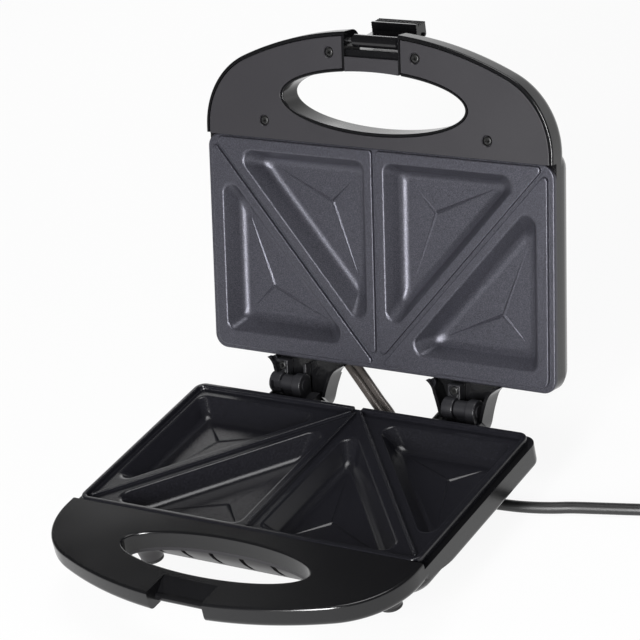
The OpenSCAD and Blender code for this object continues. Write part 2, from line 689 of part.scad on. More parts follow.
module hinge_bracket(side) color([0.04, 0.04, 0.045]) in_base() difference() {
    union() {
        translate([side * shelf_x - 18, case_back, shelf_top_z - shelf_t])
            cube([36, 5, shelf_t]);
        translate([side * shelf_x - 14, case_back, shelf_top_z - shelf_t])
            cube([28, shelf_end_y - case_back, shelf_t]);
        translate([side * hinge_x + barrel_x0, hinge_back - 4, shelf_top_z - 1])
            cube([disc_x1 - barrel_x0, 8, hinge_axis_z - shelf_top_z + 1]);
        along_x(side * hinge_x + barrel_x0, side * hinge_x + disc_x0, hinge_back,
            hinge_axis_z, barrel_r);
        along_x(side * hinge_x + disc_x0, side * hinge_x + disc_x1, hinge_back,
            hinge_axis_z, disc_r);
    }
    along_x(side * hinge_x + barrel_x0 - 1, side * hinge_x + disc_x1 - 2, hinge_back,
        hinge_axis_z, hinge_pin_r + 0.02);
    for (x = [-1, 1])
        translate([side * shelf_x + x * bracket_screw_x, case_back - 1, shelf_top_z - shelf_t / 2])
            rotate([-90, 0, 0]) cylinder(r = bore_r + 0.1, h = 8);
}
module hinge_bracket_left() hinge_bracket(-1);
module hinge_bracket_right() hinge_bracket(1);
module hinge_bracket_screws() color([0.5, 0.5, 0.5]) in_base()
    for (side = [-1, 1]) for (x = [-1, 1])
        translate([side * shelf_x + x * bracket_screw_x, case_back + 5, shelf_top_z - shelf_t / 2])
            rotate([90, 0, 0])
                screw(screw_r, bracket_screw_len, screw_head_r - 0.6, screw_head_h + 0.2);
module hinge_pin(side) color([0.7, 0.7, 0.7]) in_base()
    along_x(side * hinge_x + ring_x0, side * hinge_x + disc_x1 - 2.1, hinge_back,
        hinge_axis_z, hinge_pin_r);
module hinge_pin_left() hinge_pin(-1);
module hinge_pin_right() hinge_pin(1);

arm_y0 = case_back + 0.6;
arm_y1 = hinge_back - 2.6;
shroud_z0 = rim_drop - 0.5;
arm_screw_y = case_back + 4.5;
module hinge_arm(side) color([0.04, 0.04, 0.045]) in_lid() difference() {
    union() {
        translate([side * hinge_x + ring_x0, arm_y0, -1])
            cube([ring_x1 - ring_x0, arm_y1 - arm_y0, shroud_z0 + 1]);
        along_x(side * hinge_x + ring_x0, side * hinge_x + ring_x1, hinge_back,
            lid_hinge_z, knuckle_r);
    }
    along_x(side * hinge_x + ring_x0 - 1, side * hinge_x + ring_x1 + 1, hinge_back,
        lid_hinge_z, hinge_pin_r + pin_gap);
    translate([side * hinge_x + (ring_x0 + ring_x1) / 2, arm_screw_y, -2])
        cylinder(r = 1.4, h = shroud_z0 + 3);
}
module hinge_arm_left() hinge_arm(-1);
module hinge_arm_right() hinge_arm(1);
module hinge_arm_screws() color([0.5, 0.5, 0.5]) in_lid()
    for (side = [-1, 1])
        translate([side * hinge_x + (ring_x0 + ring_x1) / 2, arm_screw_y, -1])
            screw(screw_r, shroud_z0 + 1 + 1.8, screw_head_r, screw_head_h + 0.5);

// ---- lid case ----
lid_handle_top = handle_relief + lid_handle_t;
lid_split_y = -(plate_d + 1.3);
cover_t = 2.5;
cover_z = handle_relief + cover_t;
dome_front = -(plate_d + 8);
crown_low = lid_handle_top - 4.5;
// The crown's rings: distance drawn in, and share of the height over the side wall
crown_profile = [[0, 0], [1.6, 0.22], [5.5, 0.46], [11, 0.65], [19, 0.84], [29, 0.95], [40, 1]];
function crown_ring(t, c, z) = at_height(
    box_outline(half_case, dome_front, case_back, case_corner_r + 1.3 * c + t, c + t), z);
function crown_rings(t) = concat(
    [crown_ring(t, 0, rim_drop + wall)],
    [for (c = crown_profile)
        crown_ring(t, c[0], crown_low + c[1] * (lid_h - crown_low) - (c[1] > 0 ? t : 0))]);

module hinge_shroud(side) {
    wide = 47;
    narrow = 33;
    y0 = case_back - 0.5;
    y1 = hinge_back + 11.4;
    y2 = arm_y0 + 0.4;
    low = lid_hinge_z - 1.9;
    translate([side * shelf_x, 0, 0]) {
        translate([0, 0, shroud_z0]) linear_extrude(wall) polygon([
            [-wide / 2, y0], [wide / 2, y0], [narrow / 2, y1], [-narrow / 2, y1]]);
        for (m = [0, 1]) mirror([m, 0, 0])
            translate([0, 0, low]) linear_extrude(shroud_z0 + 1 - low) polygon([
                [wide / 2, y2], [narrow / 2, y1], [narrow / 2 - 2, y1], [wide / 2 - 2, y2]]);
    }
}

lens_x = 14;
lens_y = -plate_d + 26;
lens_r = 4;
lens_z = lid_h - 4;
module lid_housing() color([0.05, 0.05, 0.055]) in_lid() difference() {
    union() {
        loft([
            at_height(case_outline(1), handle_relief),
            at_height(case_outline(0), handle_relief + 1.5),
            at_height(case_outline(0), lid_handle_top - 8),
            at_height(case_outline(1.5), lid_handle_top - 4),
            at_height(case_outline(4), lid_handle_top - 1.5),
            at_height(case_outline(8), lid_handle_top)]);
        loft(crown_rings(0));
        for (side = [-1, 1]) hinge_shroud(side);
    }
    // Rim that the plate's flange rests on, and the space behind it
    translate([-half_case - 1, lid_split_y - 0.4, -1])
        cube([case_w + 2, case_back + 0.01 - lid_split_y + 0.4, rim_drop + 1]);
    slab(box_outline(ledge_x, ledge_y0, ledge_y1, 4, 0), rim_drop - 1, rim_drop + wall + 1);
    loft(crown_rings(wall));
    // Hollow handle and the seat of its cover
    intersection() {
        slab(case_outline(cover_edge), -1, cover_z);
        translate([-half_case, front_y, -1]) cube([case_w, lid_split_y - front_y, cover_z + 1]);
    }
    difference() {
        intersection() {
            slab(case_outline(cover_edge + wall), cover_z - 0.5, lid_handle_top - wall);
            translate([-half_case, front_y, 0])
                cube([case_w, dome_front - front_y, lid_handle_top]);
        }
        grip_ring(cover_z, lid_handle_top);
        notch_walls(lid_notch_y, 0, lid_handle_top);
        handle_bosses(cover_z, lid_handle_top);
    }
    slab(grip_outline(0), -1, lid_handle_top + 1);
    translate([-notch_x, front_y - 2, -1])
        cube([notch_w, lid_notch_y - front_y + 2, lid_handle_top + 2]);
    along_x(-notch_x - wall - 1, notch_x + wall + 1, latch_y, latch_pivot_z,
        latch_pin_r + 0.02);
    for (p = handle_screw_places)
        translate([p[0], p[1], cover_z - 1])
            cylinder(r = bore_r, h = lid_handle_t - cover_t - wall);
    for (side = [-1, 1]) for (y = plate_screw_y)
        translate([side * plate_screw_x, y, rim_drop - 1]) cylinder(r = 1.4, h = wall + 2);
    for (side = [-1, 1])
        translate([side * hinge_x + (ring_x0 + ring_x1) / 2, arm_screw_y, shroud_z0 - 1])
            cylinder(r = 1.3, h = 3);
    for (side = [-1, 1])
        translate([side * lens_x, lens_y, lens_z - 2]) cylinder(r = lens_r + 0.1, h = 8);
    // Way out for the wire sleeves
    translate([sleeve_lid_x - 7, case_in_back - 1, 5]) cube([14, wall + 2, 9]);
}

module lid_handle_cover() color([0.11, 0.11, 0.12]) in_lid() difference() {
    intersection() {
        slab(case_outline(cover_edge + cover_gap), handle_relief, cover_z);
        translate([-half_case, front_y, 0])
            cube([case_w, lid_split_y - front_y, lid_handle_t]);
    }
    slab(grip_outline(0), -1, cover_z + 1);
    translate([-notch_x - wall - cover_gap, front_y - 1, -1])
        cube([notch_w + 2 * (wall + cover_gap), lid_notch_y + wall + cover_gap - front_y + 1, 8]);
    for (p = handle_screw_places) {
        translate([p[0], p[1], -1]) cylinder(r = free_r, h = 6);
        translate([p[0], p[1], -1])
            cylinder(r = screw_head_r + 0.5, h = handle_relief + 2.2);
    }
}
module lid_handle_screws() color([0.5, 0.5, 0.5]) in_lid()
    for (p = handle_screw_places)
        translate([p[0], p[1], handle_relief + 1.2])
            screw(screw_r, handle_screw_len + 1, screw_head_r, screw_head_h);

// ---- latch ----
plate_y0 = -latch_barrel_r;
plate_y1 = -latch_barrel_r + 2.8;
hook_reach = 4.8;
tip_y = plate_y0 - 0.9;
module latch() color([0.05, 0.05, 0.055]) in_latch() difference() {
    union() {
        along_x(-latch_w / 2, latch_w / 2, 0, 0, latch_barrel_r);
        side_profile([[plate_y0, 0], [plate_y0, -hook_len + 1], [tip_y, -hook_len - 0.5],
            [tip_y, tip_z + 0.8], [tip_y + 0.8, tip_z], [plate_y0 + 1.2, tip_z],
            [plate_y0 + 1.8, tip_z + 1.2], [plate_y0 + 1.8, -hook_len - hook_t - 0.6],
            [hook_reach - 2.4, -hook_len - hook_t], [hook_reach, -hook_len - 1.4],
            [hook_reach, -hook_len], [plate_y1, -hook_len], [plate_y1, 0]],
            -latch_w / 2, latch_w / 2);
        for (k = [0:3])
            along_x(-latch_w / 2 + 1, latch_w / 2 - 1, tip_y + 0.2,
                tip_z + 1.2 + k * latch_tip / 4, 0.7);
    }
    along_x(-latch_w, latch_w, 0, 0, latch_pin_r + pin_gap);
}
module latch_pin() color([0.7, 0.7, 0.7]) in_lid()
    along_x(-notch_x - wall + 0.2, notch_x + wall - 0.2, latch_y, latch_pivot_z, latch_pin_r);

// ---- electrical pieces ----
module thermostat() color([0.8, 0.78, 0.7]) in_base()
    translate([thermostat_place[0], thermostat_place[1], -bowl_z - 0.1]) {
        translate([0, 0, -stat_h]) cylinder(r = stat_r, h = stat_h);
        translate([0, 0, -stat_h - 2]) cylinder(r = stat_r / 2, h = 2.5);
    }
block = [19, -42, pan_low_z + wall + 0.1];
module terminal_block() color([0.85, 0.84, 0.8]) in_base() translate(block) {
    translate([-11, -7, 0]) cube([22, 14, 5]);
    for (x = [-7, 0, 7]) translate([x, 0, 4]) cylinder(r = 2.4, h = 3);
}
wire_r = 0.9;
block_side = block[2] + 2.5;
base_wire_routes = [
    [[7.5, heater_back_y, base_heater_z], [4, heater_back_y, base_heater_z - 1],
        [3.5, heater_back_y, base_shield_z - 1], [3.5, -36, block_side + 2],
        [7, -42, block_side]],
    [[-7.5, heater_back_y, base_heater_z], [-4, heater_back_y, base_heater_z - 1],
        [-3.5, heater_back_y - 1, base_shield_z - 1], [-6, -45, base_shield_z - 4],
        [thermostat_place[0] + 12, thermostat_place[1] + 8, base_shield_z - 5],
        [thermostat_place[0] + 5.3, thermostat_place[1] + 1, base_shield_z - 3.9]],
    [[thermostat_place[0] + 5.3, thermostat_place[1] - 1, base_shield_z - 3.9],
        [thermostat_place[0] + 14, thermostat_place[1] - 2, base_shield_z - 5],
        [6, -62, block_side], [14, -56, block_side], [15, -50, block_side]],
    [[42, -20, pan_low_z + wall + 1.5], [41, -32, block_side], [31, -41, block_side]],
    [[43, -20, pan_low_z + wall + 1.5], [44, -36, block_side], [31, -45, block_side]],
    [[16, -34, block_side], [15, -20, block_side], [13.6, -7, -24], [12.8, -5.4, -18],
        [12.8, -3.6, -13], [12.8, -1, -11.6]],
    [[22, -34, block_side], [21, -20, block_side], [18, -7, -24], [17.2, -5.4, -18],
        [17.2, -3.6, -13], [17.2, -1, -11.6]]];
module base_wiring() color([0.9, 0.9, 0.9]) in_base()
    for (route = base_wire_routes) tube(smooth_run(route, 3), wire_r, 6);

fuse = [sleeve_lid_x, -48, lid_shield_z + shield_t + 2.6];
module thermal_fuse() color([0.6, 0.6, 0.62]) in_lid() translate(fuse) {
    along_x(-7, 7, 0, 0, 2);
    translate([-2, -4, -2.5]) cube([4, 8, 1]);
}
lid_wire_routes = [
    [[7.5, heater_back_y, lid_heater_z], [4, heater_back_y, lid_heater_z + 1],
        [3, heater_back_y, lid_shield_z + 3], [-6, -20, lid_shield_z + 3.5],
        [sleeve_lid_x + 3.5, -10.5, lid_shield_z + 3.2], [sleeve_lid_x + 3, -5, 16.5],
        [sleeve_lid_x + 2.2, -1, 10.4]],
    [[-7.5, heater_back_y, lid_heater_z], [-4, heater_back_y, lid_heater_z + 1],
        [-4, heater_back_y - 1, lid_shield_z + 3], [-8, -44, fuse[2] + 1],
        [fuse[0] + 7.3, fuse[1], fuse[2]]],
    [[fuse[0] - 7.3, fuse[1], fuse[2]], [fuse[0] - 14, -44, fuse[2] + 1],
        [sleeve_lid_x - 7, -20, lid_shield_z + 3.5],
        [sleeve_lid_x - 3.5, -10.5, lid_shield_z + 3.2], [sleeve_lid_x - 3, -5, 16.5],
        [sleeve_lid_x - 2.2, -1, 10.4]]];
module lid_wiring() color([0.9, 0.9, 0.9]) in_lid()
    for (route = lid_wire_routes) tube(smooth_run(route, 3), wire_r, 6);

module lens(side) in_lid() translate([side * lens_x, lens_y, lens_z - 3]) {
    cylinder(r = lens_r + 1.2, h = 1.5);
    cylinder(r = lens_r, h = 7.8);
}
module power_lens() color([0.8, 0.1, 0.08]) lens(-1);
module ready_lens() color([0.1, 0.55, 0.2]) lens(1);
module indicator_lamps() color([0.9, 0.6, 0.4]) in_lid()
    for (side = [-1, 1]) translate([side * lens_x, lens_y, lens_z - 12.1]) {
        cylinder(r = 2.5, h = 9);
    }

// Two sleeved wires from the lid's back to the base's back, drawn with the lid open
sleeve_r = 2.2;
sleeve_route = [[sleeve_lid_x, 33, 6], [-10, 27, -1], [5, 17, -8], [14, 8, -11.4],
    [sleeve_base_x + 1, 1.5, -11.6]];
module wire_sleeves() color([0.8, 0.8, 0.82]) in_base()
    for (side = [-1, 1])
        tube([for (p = smooth_run(sleeve_route, 5)) p + side * (sleeve_r + 0.05)
            * unit([0.45, 0.9, 0.3])], sleeve_r, 10);

// ---- cord ----
cord_r = cord_d / 2;
cord_z = floor_z + cord_r;
module strain_relief() color([0.03, 0.03, 0.03]) in_base() difference() {
    translate(outlet) rotate([0, 90, 0]) {
        translate([0, 0, -1]) cylinder(r = 3.95, h = 6);
        translate([0, 0, 5]) cylinder(r = 4.8, h = 2);
        translate([0, 0, 7]) cylinder(r1 = 4.7, r2 = 3.7, h = 22);
    }
    along_x(outlet[0] - 2, outlet[0] + 40, outlet[1], outlet[2], cord_r + 0.15);
}
// Hand-chosen places that the cord runs through, from the strain relief to the coil
cord_route = [[44.5, -17, outlet[2]], [60, -17, outlet[2]], [76, -17, outlet[2]],
    [86, -16, cord_z + 0.6], [94, -15, cord_z], [104, -14.2, cord_z], [114.5, -12.4, cord_z],
    [124, -10, cord_z], [133, -7.2, cord_z], [150, -3.4, cord_z], [170, 1, cord_z],
    [185, 5, cord_z], [201.1, 9.4, cord_z]];
coil = [222, 44];
tail_route = [[257, 66.6, floor_z + 16.4], [257, 76, floor_z + 12.5], [256, 88, floor_z + 8.5],
    [253.5, 99, floor_z + 7], [253, 106.3, floor_z + 7]];
coil_turns = 2.25;
tie_t = 0.6;
module cord_run() color([0.02, 0.02, 0.02]) in_base() {
    tube(smooth_run(cord_route, 2), cord_r, 10);
    tube(smooth_run(tail_route, 2), cord_r, 10);
}
module cord_coil() color([0.03, 0.03, 0.03]) in_base()
    translate([coil[0], coil[1], floor_z + tie_t]) rotate_extrude()
        translate([coil_w / 2 - cord_r, 0]) square([cord_d, cord_d * (coil_turns + 1)]);
module cord_tie() color([0.01, 0.01, 0.01]) in_base()
    translate([coil[0], coil[1], floor_z]) rotate([0, 0, 70]) difference() {
        translate([coil_w / 2 - cord_r - tie_t - 0.2, -2.5, 0])
            cube([cord_d + 2 * tie_t + 0.4, 5, cord_d * (coil_turns + 1) + 2 * tie_t]);
        translate([coil_w / 2 - cord_r - 0.2, -3, tie_t])
            cube([cord_d + 0.4, 6, cord_d * (coil_turns + 1)]);
    }
plug = [253, 106.6, floor_z + 7];
plug_len = 43;
plug_half_w = 17.5;
plug_t = 14;
pin_x = 9.3;
pin_len = 19;
module plug_body() color([0.03, 0.03, 0.03]) in_base() translate(plug) {
    rotate([-90, 0, 0]) cylinder(r1 = 4, r2 = 5.4, h = 10);
    translate([0, 0, -plug_t / 2]) linear_extrude(plug_t) polygon([[-7, 9], [7, 9], [11, 18],
        [plug_half_w, 24], [plug_half_w, plug_len], [-plug_half_w, plug_len],
        [-plug_half_w, 24], [-11, 18]]);
}
module plug_pins() color([0.8, 0.75, 0.55]) in_base() translate(plug)
    for (side = [-1, 1])
        translate([side * pin_x, plug_len, 0]) rotate([-90, 0, 0]) cylinder(r = 2, h = pin_len);

base_housing();
base_pan();
base_handle_cover();
base_plate();
base_heating_element();
base_heat_shield();
base_plate_screws();
base_shield_screws();
pan_screws();
base_handle_screws();
foot_pads();
hinge_bracket_left();
hinge_bracket_right();
hinge_bracket_screws();
hinge_pin_left();
hinge_pin_right();
thermostat();
terminal_block();
base_wiring();
wire_sleeves();
strain_relief();
cord_run();
cord_coil();
cord_tie();
plug_body();
plug_pins();
lid_housing();
lid_handle_cover();
lid_handle_screws();
lid_plate();
lid_heating_element();
lid_heat_shield();
lid_plate_screws();
lid_shield_screws();
hinge_arm_left();
hinge_arm_right();
hinge_arm_screws();
thermal_fuse();
lid_wiring();
power_lens();
ready_lens();
indicator_lamps();
latch_pin();
latch();
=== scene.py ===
# %% [markdown]
# # A sandwich toaster, open, with its lid leaning back
# The toaster is two moulded cases with a handle each, two coated plates, two rear hinges, a latch
# and a mains cord. The moving bodies come packed as a fixed frame, and each piece made here rides
# on one of them. Everything is drawn in millimetres in the frame of its own half, where the real
# drawings would be, and is then placed in the open position in metres.

# %% Load the frame
import math

import bmesh
import bpy
import numpy as np
from mathutils import Matrix, Vector
from mathutils.geometry import delaunay_2d_cdt


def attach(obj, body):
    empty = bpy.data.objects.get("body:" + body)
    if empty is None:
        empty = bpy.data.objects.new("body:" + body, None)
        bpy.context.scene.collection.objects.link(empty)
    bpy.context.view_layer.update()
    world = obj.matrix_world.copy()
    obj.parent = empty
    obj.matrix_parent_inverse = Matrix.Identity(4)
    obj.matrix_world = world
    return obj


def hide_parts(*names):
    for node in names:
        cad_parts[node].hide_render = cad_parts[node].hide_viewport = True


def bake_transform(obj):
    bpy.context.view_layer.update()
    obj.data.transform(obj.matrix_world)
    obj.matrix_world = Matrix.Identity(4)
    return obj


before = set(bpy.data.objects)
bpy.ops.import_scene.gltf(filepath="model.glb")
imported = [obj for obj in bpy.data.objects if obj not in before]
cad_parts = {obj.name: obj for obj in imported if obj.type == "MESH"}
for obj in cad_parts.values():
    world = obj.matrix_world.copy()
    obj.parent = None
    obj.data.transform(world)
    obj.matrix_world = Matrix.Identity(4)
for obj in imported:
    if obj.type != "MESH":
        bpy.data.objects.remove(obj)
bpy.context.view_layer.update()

# %% [markdown]
# The main sizes come first, in millimetres, because most pieces share them. The two halves meet at
# the plates, so the lower half is drawn from the back edge of the lower plate's lip, and the upper
# half from the back edge of the upper plate's face, as if the lid were closed.

# %% Main sizes
plate_w, plate_d, plate_corner_r = 220.0, 124.0, 6.0
lip_w, lip_h, flange_step, flange_w, flange_back = 3.0, 2.5, 1.8, 3.5, 2.7
pocket_depth, border_y, border_front, border_x, border_divider = 11.0, 8.5, 5.5, 6.0, 5.5
rib_h, plate_gap, plate_t = 1.8, 1.0, 2.0
case_w, case_back, case_corner_r, wall, rim_drop = 227.0, 3.0, 9.0, 2.5, 4.5
side_h, seam_h, foot_h, lid_h = 13.0, 43.0, 10.5, 38.0
handle_d, handle_corner_r, handle_front_r = 66.5, 47.0, 210.0
handle_t, lid_handle_t, relief = 12.0, 16.5, 0.5
grip_w, grip_h, grip_y, notch_w = 119.0, 34.0, 27.0, 35.0
open_angle, hinge_back, hinge_drop, hinge_x, hinge_len = math.radians(107), 16.6, 3.1, 57.7, 21.4
latch_w, latch_pivot_z, latch_swing, barrel_r = 30.0, 7.0, math.radians(170), 3.6

half_plate, half_case = plate_w / 2, case_w / 2
front_y = -(plate_d + handle_d)
grip_mid_y = -(plate_d + grip_y)
latch_y = front_y + 6.5
lid_hinge_z = -(hinge_drop + plate_gap)
catch_y, catch_z, catch_r = latch_y + 2.5, -relief - 7.5, 2.2
hook_len = latch_pivot_z + plate_gap - catch_z + catch_r + 0.4
lid_top = relief + lid_handle_t
base_handle_z = -relief - handle_t
floor_z = -seam_h
print("case:", case_w, "wide and", case_back - front_y, "deep")

# %% [markdown]
# Three matrices take the drawings to their places: the lower half is only lifted and centred, the
# upper half is also turned back about the hinge pins, and the latch is turned over its own pin. The
# middle of the open toaster is at the origin, so the centring follows from the latch's far end.

# %% Places of the three bodies
def reach_back(y, z):
    return (hinge_back + (y - hinge_back) * math.cos(open_angle)
            + (z - lid_hinge_z) * math.sin(open_angle))


hook_t, latch_tip = 3.2, 7.0
latch_len = hook_len + hook_t + latch_tip
plate_y = -(front_y + reach_back(latch_y - latch_len * math.sin(latch_swing),
                                 latch_pivot_z - latch_len * math.cos(latch_swing))) / 2
metres = Matrix.Scale(0.001, 4)
base_place = metres @ Matrix.Translation((0, plate_y, seam_h))
lid_place = (metres @ Matrix.Translation((0, plate_y + hinge_back, seam_h - hinge_drop))
             @ Matrix.Rotation(-open_angle, 4, "X")
             @ Matrix.Translation((0, -hinge_back, hinge_drop + plate_gap)))
latch_place = (lid_place @ Matrix.Translation((0, latch_y, latch_pivot_z))
               @ Matrix.Rotation(-latch_swing, 4, "X"))
places = {"base": base_place, "lid": lid_place, "latch": latch_place}
print("plates' back edge is", round(plate_y, 2), "mm behind the middle")

# %% [markdown]
# ## Camera
# The camera stands in front and to the right, above the handles, with a long lens and a slight
# roll. Its place was worked out from the plates' corners, the hinges and the handles, so it is
# written as a direction, a distance and two small sideways moves.

# %% Camera
look_az, look_el, look_roll = math.radians(37.543), math.radians(28.455), math.radians(-12.27)
look_right, look_up, look_far, look_f = -21.77, 48.62, 1577.52, 2804.4
backward = Vector((math.sin(look_az) * math.cos(look_el), -math.cos(look_az) * math.cos(look_el),
                   math.sin(look_el)))
level = Vector((math.cos(look_az), math.sin(look_az), 0))
rise = backward.cross(level)
right = level * math.cos(look_roll) + rise * math.sin(look_roll)
up = rise * math.cos(look_roll) - level * math.sin(look_roll)
eye = backward * look_far + right * look_right + up * look_up + Vector((0, plate_y, seam_h))

camera = bpy.data.objects.new("camera", bpy.data.cameras.new("camera"))
bpy.context.scene.collection.objects.link(camera)
camera.data.sensor_width = 36.0
camera.data.lens = look_f / 640 * 36.0
camera.data.clip_start, camera.data.clip_end = 0.05, 50.0
camera.matrix_world = Matrix((
    (right.x, up.x, backward.x, eye.x / 1000),
    (right.y, up.y, backward.y, eye.y / 1000),
    (right.z, up.z, backward.z, eye.z / 1000),
    (0, 0, 0, 1)))
bpy.context.scene.camera = camera
print("camera", [round(v / 1000, 3) for v in eye], "lens", round(camera.data.lens, 1), "mm")

# %% [markdown]
# ## Mains cord
# The cord is a round PVC lead, 6.5 mm thick. It leaves the pan under the case through a strain
# relief, drops to the worktop, runs off to the right and lies wound in a small coil with its plug
# beside it. A curve with a round bevel is the natural way: its own line is the cord's centreline.
# Each point of the curve carries the cord's radius, so the bevel itself is one metre deep.
# The guide places are the same as the cord's solid has, and the coil is a rising helix on them.

# %% Cord
cord_r = 3.25
cord_z = floor_z + cord_r
outlet = (44.5, -17.0, floor_z + 5.3)
cord_guides = [outlet, (60, -17, outlet[2]), (76, -17, outlet[2]), (86, -16, cord_z + 0.6),
               (94, -15, cord_z), (104, -14.2, cord_z), (114.5, -12.4, cord_z),
               (124, -10, cord_z), (133, -7.2, cord_z), (150, -3.4, cord_z),
               (170, 1, cord_z), (185, 5, cord_z), (201.1, 9.0, cord_z)]
coil_mid, coil_r, coil_turns, coil_pitch = (222.0, 44.0), 35.0, 2.25, 6.6
coil_low = cord_z + 0.6
coil_points = []
for i in range(int(coil_turns * 28) + 1):
    a = -math.pi / 2 + 2 * math.pi * i / 28
    coil_points.append((coil_mid[0] + coil_r * math.cos(a), coil_mid[1] + coil_r * math.sin(a),
                        coil_low + coil_pitch * i / 28))
tail_guides = [(257, 54, floor_z + 18.3), (257, 66.6, floor_z + 16.4), (257, 76, floor_z + 12.5),
               (256, 88, floor_z + 8.5), (253.5, 99, floor_z + 7), (253, 107, floor_z + 7)]


def smooth_run(points, steps):
    """Points on a smooth curve through the given ones."""
    p = [np.array(q, float) for q in points]
    out = []
    for i in range(len(p) - 1):
        a, b, c, d = p[max(i - 1, 0)], p[i], p[i + 1], p[min(i + 2, len(p) - 1)]
        for j in range(steps):
            t = j / steps
            out.append(0.5 * (2 * b + (c - a) * t + (2 * a - 5 * b + 4 * c - d) * t * t
                              + (3 * b - a - 3 * c + d) * t ** 3))
    return out + [p[-1]]


cord_line = (smooth_run(cord_guides, 3)[:-1] + [np.array((211.5, 9.25, cord_z + 0.25))]
             + [np.array(p) for p in coil_points] + smooth_run(tail_guides, 3))

# %% Cord's curve
cord_data = bpy.data.curves.new("mains_cord", "CURVE")
cord_data.dimensions = "3D"
cord_data.bevel_depth = 1.0
cord_data.bevel_resolution = 4
cord_data.use_fill_caps = True
line = cord_data.splines.new("POLY")
line.points.add(len(cord_line) - 1)
for spot, p in zip(line.points, cord_line):
    spot.co = (*(base_place @ Vector(p)), 1)
    spot.radius = cord_r / 1000
cord = bpy.data.objects.new("mains_cord", cord_data)
bpy.context.scene.collection.objects.link(cord)

# %% [markdown]
# ## Small helpers for shapes
# Nearly every moulding here is a set of closed outlines stacked one over the other, so one helper
# makes outlines and another skins them. Rounded edges are rows of outlines drawn in along a quarter
# circle, which gives clean highlights on glossy plastic without a bevel tool.

# %% Outlines
def round_points(n):
    """n points round a circle of radius 1."""
    return [(math.cos(2 * math.pi * k / n), math.sin(2 * math.pi * k / n)) for k in range(n)]


def arc(cx, cy, r, a0, a1, n):
    steps = [math.radians(a0 + (a1 - a0) * i / n) for i in range(n + 1)]
    return [(cx + r * math.cos(a), cy + r * math.sin(a)) for a in steps]


def circle(x, y, r, n=40):
    return [(x + r * c, y + r * s) for c, s in round_points(n)]


def box_outline(x, y0, y1, r, d, n=9):
    """A rectangle with rounded corners, drawn in by d."""
    q = max(r - d, 0.4)
    e = d + q
    return (arc(x - e, y0 + e, q, 270, 360, n) + arc(x - e, y1 - e, q, 0, 90, n)
            + arc(-x + e, y1 - e, q, 90, 180, n) + arc(-x + e, y0 + e, q, 180, 270, n))


corner_x = half_case - handle_corner_r
front_mid_y = front_y + handle_front_r
front_sweep = math.degrees(math.asin(corner_x / (handle_front_r - handle_corner_r)))
corner_y = front_mid_y - (handle_front_r - handle_corner_r) * math.cos(math.radians(front_sweep))


def case_outline(d):
    """The case with its curved handle, drawn in by d."""
    q = max(case_corner_r - d, 0.4)
    e = d + q
    return (arc(0, front_mid_y, handle_front_r - d, 270 - front_sweep, 270 + front_sweep, 48)[:-1]
            + arc(corner_x, corner_y, handle_corner_r - d, 270 + front_sweep, 360, 30)
            + arc(half_case - e, case_back - e, q, 0, 90, 8)
            + arc(-half_case + e, case_back - e, q, 90, 180, 8)
            + arc(-corner_x, corner_y, handle_corner_r - d, 180, 270 - front_sweep, 30)[:-1])


def grip_outline(d):
    return [((grip_w / 2 + d) * c, grip_mid_y + (grip_h / 2 + d) * s) for c, s in round_points(96)]


def at(outline, z):
    return [(x, y, z) for x, y in outline]


def edge_out(r, z, up=1, n=6):
    """Pairs (drawn in, height) round a convex edge of radius r, from the side to the face at z."""
    turns = [math.pi / 2 * i / n for i in range(n + 1)]
    return [(r - r * math.cos(a), z - up * (r - r * math.sin(a))) for a in turns]


print("case outline has", len(case_outline(0)), "points")

# %% Skins
def shaded(mesh, angle):
    mesh.shade_smooth()
    mesh.set_sharp_from_angle(angle=math.radians(angle))


def new_piece(name, mesh):
    piece = bpy.data.objects.new(name, mesh)
    bpy.context.scene.collection.objects.link(piece)
    return piece


def skin(bm, rings, cap_first=True, cap_last=True):
    """Closed rings of the same number of points, joined by strips of faces."""
    rows = [[bm.verts.new(p) for p in ring] for ring in rings]
    n = len(rows[0])
    for a, b in zip(rows, rows[1:]):
        for i in range(n):
            bm.faces.new((a[i], a[(i + 1) % n], b[(i + 1) % n], b[i]))
    if cap_first:
        bm.faces.new(rows[0][::-1])
    if cap_last:
        bm.faces.new(rows[-1])
    return rows


def finish_mesh(bm, name):
    bmesh.ops.recalc_face_normals(bm, faces=bm.faces)
    mesh = bpy.data.meshes.new(name)
    bm.to_mesh(mesh)
    bm.free()
    return mesh


def solid(name, rings):
    """A closed solid through a stack of rings. The next four helpers only differ in their rings."""
    bm = bmesh.new()
    skin(bm, rings)
    return new_piece(name, finish_mesh(bm, name))


def moulding(name, outline, profile):
    """One outline drawn in by each pair's first number, at its second as height."""
    return solid(name, [at(outline(d), z) for d, z in profile])


def prism(name, outline, z0, z1):
    return solid(name, [at(outline, z0), at(outline, z1)])


def bar_along_x(name, profile, x0, x1):
    """A side profile of (y, z) points, run from x0 to x1."""
    return solid(name, [[(x, y, z) for y, z in profile] for x in (x0, x1)])


def turned_x(name, profile, y, z, n=48):
    """A turned shape along X from pairs (x, radius), closed at both ends."""
    return solid(name, [[(x, y + r * c, z + r * s) for c, s in round_points(n)] for x, r in profile])


def block(name, x, y, z):
    """A box tool between pairs of x, y and z, for cutting or as a base for other steps."""
    return prism(name, [(x[0], y[0]), (x[1], y[0]), (x[1], y[1]), (x[0], y[1])], z[0], z[1])


def both_sides(name, x0, x1, y, z):
    """A block between x0 and x1, and its mirror image."""
    return [block(name, sorted((side * x0, side * x1)), y, z) for side in (-1, 1)]


print("skins, solids and blocks are ready")

# %% Joining, cutting and placing
def bake(piece):
    """Turns the piece with its modifiers into a plain mesh."""
    seen = piece.evaluated_get(bpy.context.evaluated_depsgraph_get())
    mesh = bpy.data.meshes.new_from_object(seen)
    piece.modifiers.clear()
    piece.data = mesh
    return piece


